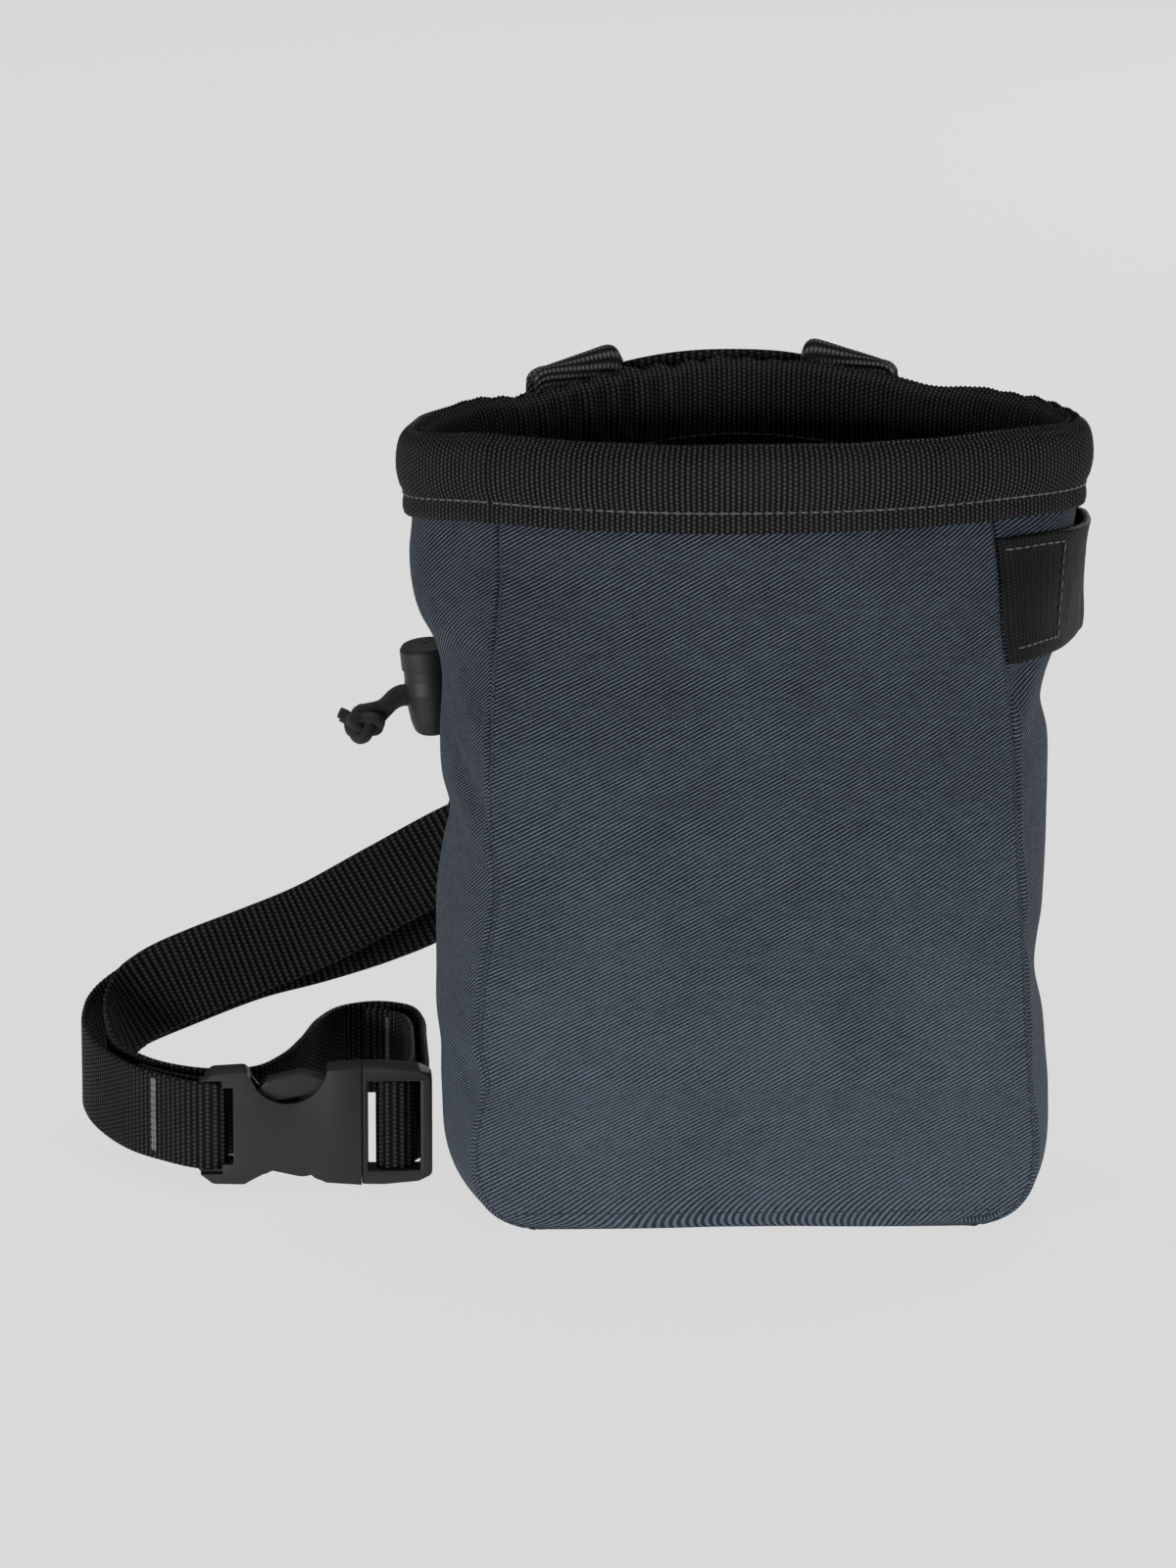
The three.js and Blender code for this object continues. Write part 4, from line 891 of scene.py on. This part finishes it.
loop_course = ((4.5, -4), (4.5, 4), (4.5, 12.4), (4.9, 14.5), (6.8, 15.6), (9.0, 14.7),
               (9.8, 12.4), (9.8, 2), (9.2, -7), (7.0, -12))
loop_rib_gap = 1.5
strap_cloth = webbing("strap webbing", pitch=loop_rib_gap, thread=1.0,
                      dark=(0.003, 0.003, 0.0032), light=(0.15, 0.153, 0.16))
for label, x, tilt, raised in (("left", -33.5, 0.29, 1.7), ("right", 24, -0.29, 0.4)):
    edge, out, along = back_edge_at(x)
    course = [edge + out * o + np.array((0, 0, up + raised * (up > 10)))
              for o, up in loop_course]
    across = [unit(np.array((along[0], along[1], tilt)))] * len(course)
    for drop in (20, 27, 34):
        row = row_at(edge[2] - drop)
        row = (*row, edge[2] - drop)
        k = (x - row[0]) / (row[1] - row[0])
        p, a, b = panel_grid([row], np.array((k, k - 0.05, k + 0.05)), True)[0]
        level = unit((b - a) * np.array((1, 1, 0)))
        course.append(p + np.array((-level[1], level[0], 0)) * 1.35)
        across.append(level)
    fine_course = evenly(smooth_line(course, 12), loop_rib_gap / 4)
    share = np.linspace(0, 1, len(fine_course)) * (len(course) - 1)
    across = np.array(across)
    fine_across = points_at(share, np.arange(len(course)), across)
    loop = strap(f"belt_loop_{label}_webbing", fine_course, fine_across, thick=1.6,
                 width=21.5, pitch=loop_rib_gap, columns=25, bow=2.2)
    loop.data.materials.append(strap_cloth)
    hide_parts(f"belt_loop_{label}")
    t = unit(np.gradient(fine_course, axis=0))
    w = unit(fine_across - t * (fine_across * t).sum(axis=1, keepdims=True))
    up = np.cross(t, w)
    if up[-1] @ np.array((0, 1, 0)) < 0:
        up = -up
    box = []
    last_at, first_at = len(fine_course) - 6, len(fine_course) - 30
    corners = ((last_at, -8.5), (last_at, 8.5), (first_at, 8.5), (first_at, -8.5),
               (last_at, -8.5), (first_at, 8.5))
    for (i, s), (i2, s2) in zip(corners[:-1], corners[1:]):
        for k in np.linspace(0, 1, 12):
            c = i + (i2 - i) * k
            lo = int(c)
            box.append(fine_course[lo] + w[lo] * (s + (s2 - s) * k) + up[lo] * 0.9)
    stitch_run(f"belt_loop_{label}_stitches", box, gap=2.4, long=2.0, wide=0.4,
               thread=grey_thread, seed=11)

# ---------------------------------------------------------------- brush loop
# A flat piece of wider black webbing is caught in the right front seam, box stitched to
# the gusset, and stands off it behind to hold a brush.
brush_course = np.array((
    (0.0, 0), (0.11, 0), (0.24, 0), (0.36, 0.02), (0.46, 0.1), (0.56, 0.28), (0.66, 0.56),
    (0.76, 0.95), (0.84, 0.95), (0.9, 0.6), (0.94, 0.2), (0.975, 0)))


def brush_face(z, share, deep):
    """A point of the brush loop by height and by its place along the loop."""
    fine_at = share * (len(brush_course) - 1)
    i = int(min(max(math.floor(fine_at), 0), len(brush_course) - 2))
    k = fine_at - i
    pts = np.vstack([2 * brush_course[0] - brush_course[1], brush_course,
                     2 * brush_course[-1] - brush_course[-2]])
    a, b, c, d = pts[i:i + 4]
    across_k, stand = between(a, b, c, d, k)
    flare = 1.15 + 0.15 * (152 - z) / 25
    sag = 4.6 * max(0.0, share - 0.12)
    z = z - sag
    row = (*row_at(z), z)
    p, q, o = side_grid([row], np.array((across_k, across_k + 0.01, across_k - 0.01)),
                        True)[0]
    t = unit((q - o) * np.array((1, 1, 0)))
    return p + np.array((t[1], -t[0], 0)) * (0.45 + max(stand, 0) * 8.5 * flare + deep
                                               - 1.4 * math.exp(-(share / 0.012) ** 2))


brush_grid = np.array([[brush_face(z, s, 1.5) for s in np.linspace(0, 1, 140)]
                       for z in np.linspace(151.6, 125.0, 34)])
brush_normals = grid_normals(brush_grid, False)
if brush_normals[..., 0].mean() < 0:
    brush_normals = -brush_normals
brush_rib_gap = 1.3
rib_of = 0.07 * np.cos(2 * math.pi * run_lengths(brush_grid, 1) / brush_rib_gap)
brush_grid = brush_grid + brush_normals * rib_of[..., None]
brush = cloth_piece("brush_loop_webbing", brush_grid, brush_normals, 1.5,
                    run_lengths(brush_grid, 1), -run_lengths(brush_grid, 0))
brush_cloth = webbing("brush loop webbing", pitch=brush_rib_gap, thread=0.8,
                      dark=(0.0045, 0.0045, 0.0045), light=(0.0165, 0.0167, 0.017),
                      strength=0.5)
brush.data.materials.append(brush_cloth)
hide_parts("brush_loop")
reach = run_lengths(brush_grid, 1)
stop = int(np.argmin(np.abs(reach[17] - 22.0)))
skin = brush_grid + brush_normals * 0.1
box = np.vstack([skin[3, 1:stop], skin[3:-4, stop], skin[-5, 1:stop][::-1]])
stitch_run("brush_loop_stitches", box, gap=2.7, long=2.2, wide=0.4, thread=grey_thread,
           seed=13)

# ---------------------------------------------------------------- waist belt
# One length of 20 mm black ribbed webbing: sewn back on itself round the female buckle
# bar, through both belt loops behind the bag, and round the male half's centre bar.
belt_low = 13.6
belt_path = (
    (-134.6, 18.6, belt_low), (-128, 10.9, belt_low), (-122.6, 7.0, belt_low),
    (-118.6, 6.0, belt_low), (-116.3, 4.9, belt_low), (-115.6, 3.0, belt_low),
    (-116.3, 1.1, belt_low), (-118.6, 0.2, belt_low), (-123, 2.2, belt_low),
    (-129, 8.1, belt_low), (-136, 17.0, belt_low), (-142.2, 31, 13.7), (-146.4, 45, 14.4),
    (-147.8, 58, 15.8), (-145, 70, 18.9), (-137, 77, 23), (-125, 79, 28), (-110, 79, 33.8),
    (-95, 78, 38), (-80, 77, 43), (-69, 77, 47.8), (-60, 77, 55), (-54, 75, 70),
    (-51.5, 71, 88), (-52.5, 65, 106), (-56, 57, 123), (-59, 48.5, 138), (-57.5, 42.5, 150),
    (-52.2, 40.2, 159),
)
belt_in_loops = ((-42.5, 0.4), (-33.5, 2.2), (-24, 4.0), (-12, 4.6), (0, 4.5), (12, 4.2),
                 (24, 2.2), (33.5, 0.2))
belt_return = (
    (43, 42.9, 163), (51, 39.8, 158), (58, 40, 149), (62, 45, 135), (60, 52, 118),
    (51, 58, 104), (37, 61.5, 96), (20, 62.5, 90), (2, 62.5, 84), (-20, 62, 78),
    (-42, 62, 71.5), (-60, 62, 64.5), (-78, 62, 54.8), (-95, 62, 45.5), (-108, 62, 40.1),
    (-120, 62, 35.5), (-130, 62, 31), (-137, 60, 26.4), (-141.5, 53, 21), (-141.4, 43, 16.5),
    (-139, 34, 14.6), (-134, 25.5, 13.8), (-127, 18, belt_low), (-118, 13.6, belt_low),
    (-109, 15.5, belt_low), (-102.5, 27, belt_low), (-98, 43, belt_low), (-94, 62, belt_low),
    (-88.5, 74, belt_low), (-80.8, 77.8, belt_low), (-73.8, 74, belt_low),
    (-70.9, 62, belt_low), (-70.6, 45, belt_low), (-70.5, 30, belt_low), (-70.5, 20, belt_low),
    (-71.1, 13.4, belt_low), (-72.2, 9.2, belt_low), (-73.8, 5.8, belt_low),
    (-74.1, 3.0, belt_low), (-75.2, 1.0, belt_low), (-77.6, 0.3, belt_low),
    (-80.1, 0.9, belt_low), (-81.0, 3.2, belt_low), (-81.1, 6.2, belt_low),
    (-80.0, 9.2, belt_low), (-77.9, 11.6, belt_low), (-75.4, 15.4, belt_low),
    (-73.9, 21.5, belt_low), (-73.5, 32, belt_low), (-73.5, 45, belt_low),
    (-73.7, 56, belt_low), (-75.4, 65, belt_low), (-79.4, 69.8, belt_low),
    (-83.6, 70.6, belt_low),
)
in_loops = []
for x, up in belt_in_loops:
    edge, out, along = back_edge_at(x)
    in_loops.append(tuple(edge + out * 6.9 + np.array((0, 0, up))))
knots = np.array([(x, y, z + 0.1) for x, y, z in belt_path] + in_loops
                 + [(x, y, z + 0.1) for x, y, z in belt_return], float)


def eased_line(p, steps):
    """A rounded line whose pace follows the root of the distance between its points."""
    ends = np.vstack([2 * p[0] - p[1], p, 2 * p[-1] - p[-2]])
    made = []
    for i in range(1, len(ends) - 2):
        a, b, c, d = ends[i - 1:i + 3]
        t = np.concatenate([[0], np.cumsum([max(np.linalg.norm(q - r), 1e-6) ** 0.5
                                            for q, r in ((b, a), (c, b), (d, c))])])
        for k in t[1] + (t[2] - t[1]) * np.arange(steps) / steps:
            ab = a + (b - a) * (k - t[0]) / (t[1] - t[0])
            bc = b + (c - b) * (k - t[1]) / (t[2] - t[1])
            cd = c + (d - c) * (k - t[2]) / (t[3] - t[2])
            abc = ab + (bc - ab) * (k - t[0]) / (t[2] - t[0])
            bcd = bc + (cd - bc) * (k - t[1]) / (t[3] - t[1])
            made.append(abc + (bcd - abc) * (k - t[1]) / (t[2] - t[1]))
    made.append(p[-1])
    return np.array(made)


coarse = eased_line(knots, 2)
heading = unit(np.vstack([coarse[1] - coarse[0], coarse[2:] - coarse[:-2],
                          coarse[-1] - coarse[-2]]))
facing, steep, faces_of = np.array((0.7, 0.7, 0.0)), [], []
for t in heading:
    steep.append(math.hypot(t[0], t[1]) < 0.62)
    if not steep[-1]:
        n = unit(np.array((t[1], -t[0], 0)))
        facing = -n if n @ facing < 0 else n
    faces_of.append(facing)
faces_of = np.array(faces_of)
first_held = 2 * len(belt_path) - 1
last_held = 2 * (len(belt_path) + len(belt_in_loops)) - 2
turning = [not first_held <= i <= last_held and any(steep[max(0, i - 5):i + 6])
           for i in range(len(coarse))]
for _ in range(24):
    eased = faces_of.copy()
    for i in range(1, len(coarse) - 1):
        if turning[i]:
            eased[i] = unit(2 * faces_of[i] + faces_of[i - 1] + faces_of[i + 1])
    faces_of = eased
coarse_across = np.cross(faces_of, heading)
line = eased_line(knots, 24)
place = np.arange(len(line)) / 12
line_across = points_at(place, np.arange(len(coarse)), coarse_across)
run = distances_along(line)
rib_gap = 1.55
at = np.arange(0, run[-1], rib_gap / 4)
belt_line = points_at(at, run, line)
belt_across = unit(points_at(at, run, line_across))
for _ in range(10):
    belt_across[1:-1] = unit(belt_across[1:-1] + 0.5 * (belt_across[2:] + belt_across[:-2]))
belt = strap("belt_webbing", belt_line, belt_across, thick=1.6, width=20, pitch=rib_gap,
             columns=9, wave=0.16)
belt_cloth = webbing("belt webbing cloth", pitch=rib_gap, thread=1.0,
                     dark=(0.0014, 0.0014, 0.0015), light=(0.050, 0.0505, 0.052))
belt.data.materials.append(belt_cloth)
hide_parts("belt")


def across_belt(where, name, gap, long, wide, thread, seed, inset, rows):
    """Stitches straight across the belt's front, at distances from its start."""
    for r, more in enumerate(rows):
        i = int((where + more) / (rib_gap / 4))
        t = unit(belt_line[i + 1] - belt_line[i - 1])
        w = unit(belt_across[i] - t * (belt_across[i] @ t))
        off = np.cross(t, w) * 0.86
        off = off * (-1 if off[1] > 0 else 1)
        half = 10 - inset
        line = [belt_line[i] + off + w * s for s in np.linspace(-half, half, 40)]
        stitch_run(f"{name}_{r}", line, gap, long, wide, thread, seed + r)


# ---------------------------------------------------------------- buckle
# A side-release buckle of dark grey moulded plastic, 20 mm size: the female half is a
# hollow body with two thumb openings, the male half has a slotted frame, a centre
# tongue and two sprung arms whose rounded ends show in the openings.
left_end, joint_at, right_end, tall, thick_of, mid_y = -121.8, -85.2, -69.4, 27.4, 9.0, 3.0


def moulded_plate(name, outline, y0, y1):
    """A flat-sided body from an outline in x and z, in millimetres."""
    made = bmesh.new()
    ring_a = [made.verts.new((x * 0.001, y0 * 0.001, z * 0.001)) for x, z in outline]
    ring_b = [made.verts.new((x * 0.001, y1 * 0.001, z * 0.001)) for x, z in outline]
    n = len(outline)
    made.faces.new(ring_a)
    made.faces.new(ring_b[::-1])
    for i in range(n):
        made.faces.new((ring_a[(i + 1) % n], ring_a[i], ring_b[i], ring_b[(i + 1) % n]))
    bmesh.ops.recalc_face_normals(made, faces=made.faces)
    mesh = bpy.data.meshes.new(name)
    made.to_mesh(mesh)
    made.free()
    piece = bpy.data.objects.new(name, mesh)
    scene.collection.objects.link(piece)
    return piece


def without_repeats(points):
    """The points in order, each place once."""
    kept = {(round(x, 3), round(z, 3)): (x, z) for x, z in points[::-1]}
    seen = dict.fromkeys((round(x, 3), round(z, 3)) for x, z in points)
    return [kept[key] for key in seen]


def block(x0, x1, y0, y1, z0, z1):
    """A square-cornered cutter between the given bounds."""
    return moulded_plate("cutter", [(x0, z0), (x1, z0), (x1, z1), (x0, z1)], y0, y1)


def disc(x, z, radius, y0, y1, sides=64):
    """A round cutter whose axis runs from front to back."""
    return moulded_plate("cutter", [(x + radius * math.cos(2 * math.pi * i / sides),
                                     z + radius * math.sin(2 * math.pi * i / sides))
                                    for i in range(sides)], y0, y1)


def keep_shape(piece):
    """Keeps the shape that the piece's modifiers make, and drops the modifiers."""
    piece.data = bpy.data.meshes.new_from_object(
        piece.evaluated_get(bpy.context.evaluated_depsgraph_get()))
    piece.modifiers.clear()


def carved(piece, cutters, joined=(), bevel=0.8):
    """Joins and cuts bodies, rounds the edges as a mould does, and keeps one mesh."""
    for others, kind in ((joined, "UNION"), (cutters, "DIFFERENCE")):
        for other in others:
            cut = piece.modifiers.new("cut", "BOOLEAN")
            cut.operation = kind
            cut.solver = "EXACT"
            cut.object = other
            keep_shape(piece)
            bpy.data.objects.remove(other)
    tidy = bmesh.new()
    tidy.from_mesh(piece.data)
    bmesh.ops.remove_doubles(tidy, verts=tidy.verts, dist=2e-5)
    bmesh.ops.dissolve_limit(tidy, angle_limit=math.radians(1), verts=tidy.verts,
                             edges=tidy.edges)
    tidy.to_mesh(piece.data)
    tidy.free()
    soften = piece.modifiers.new("edges", "BEVEL")
    soften.width = bevel * 0.001
    soften.segments = 3
    soften.limit_method = "ANGLE"
    soften.angle_limit = math.radians(38)
    keep_shape(piece)
    piece.data.polygons.foreach_set("use_smooth", [True] * len(piece.data.polygons))
    piece.data.set_sharp_from_angle(angle=math.radians(32))
    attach(piece, "bag")
    return piece


female_half = rounded_profile([
    (left_end, 13.7), (left_end, 2.6, 1.6), (left_end + 3.4, 0, 1.6), (left_end + 10.6, 0, 1.6),
    (left_end + 15.0, 4.3, 2.4), (left_end + 25.8, 3.2, 3.0), (left_end + 28.4, 0.7, 1.2),
    (joint_at, 0.3), (joint_at, 13.7)])
female_low = [(x, 0.9 * (joint_at - x) / 36 + z * (0.62 if 14 < x - left_end < 27 else 1))
              for x, z in female_half]
female_high = [(x, tall - z - 1.7 * ((joint_at - x) / 36) ** 1.2) for x, z in female_half]
outline = without_repeats(female_low + female_high[::-1])
y0, y1 = mid_y - thick_of / 2, mid_y + thick_of / 2
female = moulded_plate("buckle_female_body", outline, y0, y1)
slot_left = left_end + 4.6
cutters = [
    block(left_end - 1, slot_left - 3, y0 - 1, y1 + 1, 3.7, tall - 4.6),
    block(slot_left, slot_left + 3.4, y0 - 1, y1 + 1, 5.2, tall - 4.6),
    block(left_end - 1, slot_left + 1, y0 - 1, mid_y - 1.5, 3, tall - 3),
    block(left_end - 1, slot_left + 1, mid_y + 1.5, y1 + 1, 3, tall - 3),
    block(joint_at - 25.5, joint_at + 1, y0 + 1.6, y1 - 1.6, 3.0, tall - 3.0),
    block(left_end + 12.6, left_end + 28.2, y0 + 1.6, y1 - 1.6, -1, tall + 1),
    disc(left_end + 20.2, tall + 0.6, 9.0, y0 - 1, y1 + 1),
    disc(left_end + 20.0, -4.6, 9.0, y0 - 1, y1 + 1),
]
carved(female, cutters, bevel=0.7)
male_half = rounded_profile([
    (joint_at + 0.06, 13.7), (joint_at + 0.06, 0.3), (joint_at + 5, 0.2),
    (right_end - 3.0, 0.9, 2),
    (right_end, 2.4, 1.6), (right_end, 13.7)])
outline = without_repeats(male_half + [(x, tall - z) for x, z in male_half[::-1]])
m0, m1 = y0 + 0.5, y1 - 0.5
male = moulded_plate("buckle_male_body", outline, m0, m1)
low, high = 3.5, tall - 3.5
arm_outline = rounded_profile([
    (joint_at + 1, 7.0), (joint_at - 12, 7.0), (joint_at - 20, 8.4, 2),
    (joint_at - 24.2, 6.6, 1.6),
    (joint_at - 21.0, 3.4, 2.0), (joint_at - 13.0, 1.6, 5.0), (joint_at - 7.4, 3.4, 1.5),
    (joint_at + 1, 3.9)])
arm = moulded_plate("arm", arm_outline, y0 + 1.9, y1 - 1.9)
other_arm = moulded_plate("arm", [(x, tall - z) for x, z in arm_outline], y0 + 1.9, y1 - 1.9)
tongue = block(joint_at - 22, joint_at + 1, mid_y - 1.4, mid_y + 1.4, 11.3, 16.1)
carved(male, [
    block(joint_at + 1.5, joint_at + 5.4, m0 - 1, m1 + 1, low, high),
    block(joint_at + 9.2, right_end - 2.6, m0 - 1, m1 + 1, low, high),
    block(joint_at + 4, joint_at + 10, m0 - 1, mid_y - 1.3, low, high),
    block(joint_at + 4, joint_at + 10, mid_y + 1.3, m1 + 1, low, high),
], joined=(arm, other_arm, tongue), bevel=0.55)
plastic, base, of = shader("moulded buckle plastic", (0.03, 0.031, 0.033), 0.42)
grain = noise_of(plastic, 4200, 2)
fine_grain = noise_of(plastic, 1500, 3)
cloud = noise_of(plastic, 90, 3)
finish_with(plastic, base, height=of("ADD", grain, of("MULTIPLY", fine_grain, 0.6)),
            strength=0.3, deep=0.00006, tone=cloud, dark=(0.0085, 0.009, 0.0095),
            light=(0.0120, 0.0125, 0.0132),
            rough=of("ADD", of("MULTIPLY", cloud, 0.18), 0.36))
for piece, node in ((female, "buckle_female"), (male, "buckle_male")):
    piece.data.materials.append(plastic)
    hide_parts(node)
across_belt(46.2, "belt_fold_stitches", gap=1.5, long=1.9, wide=0.75, thread=pale_thread,
            seed=17, inset=1.2, rows=(0, 0.7))
across_belt(run[-1] - 6.4, "belt_tail_stitches", gap=1.3, long=1.7, wide=0.6,
            thread=grey_thread, seed=23, inset=1.4, rows=(0, 0.6))

# ---------------------------------------------------------------- floor and light
# A plain pale floor that glows a little runs out of the picture on every side. Two broad
# soft lights stand low in front, left and right; weaker ones hang above and stand behind.
bed = bmesh.new()
corners = [bed.verts.new(c) for c in ((-9, -6, 0), (9, -6, 0), (9, 16, 0), (-9, 16, 0))]
bed.faces.new(corners)
sheet_of_floor = bpy.data.meshes.new("floor")
bed.to_mesh(sheet_of_floor)
bed.free()
floor = bpy.data.objects.new("floor", sheet_of_floor)
scene.collection.objects.link(floor)
pale, base, of = shader("pale floor", (0.08, 0.08, 0.08), 0.95)
base.inputs["Emission Color"].default_value = (1, 1, 1, 1)
base.inputs["Emission Strength"].default_value = 0.66
base.inputs["Specular IOR Level"].default_value = 0.0
floor.data.materials.append(pale)

sky = bpy.data.worlds.new("studio")
scene.world = sky
sky.use_nodes = True
sky.node_tree.nodes["Background"].inputs["Color"].default_value = (1, 1, 1, 1)
sky.node_tree.nodes["Background"].inputs["Strength"].default_value = 0.12


def lamp(name, place, aim, size, power):
    """A soft rectangular light that looks at a point."""
    data = bpy.data.lights.new(name, "AREA")
    data.shape = "RECTANGLE"
    data.size, data.size_y = size
    data.energy = power
    shown = bpy.data.objects.new(name, data)
    scene.collection.objects.link(shown)
    shown.location = place
    shown.rotation_euler = (Vector(aim) - Vector(place)).to_track_quat("-Z", "Y").to_euler()


lamp("key", place=(-1.4, -1.45, 0.2), aim=(0, 0, 0.06), size=(0.8, 0.36), power=24)
lamp("fill", place=(1.5, -1.3, 0.22), aim=(0, 0, 0.06), size=(1.0, 0.4), power=17)
lamp("top", place=(0.1, 0.7, 1.9), aim=(0, 0, 0.1), size=(1.2, 1.2), power=9)
lamp("back", place=(0.9, 1.8, 0.5), aim=(0, 0, 0.07), size=(1.0, 0.6), power=7)
scene.view_settings.view_transform = "Standard"
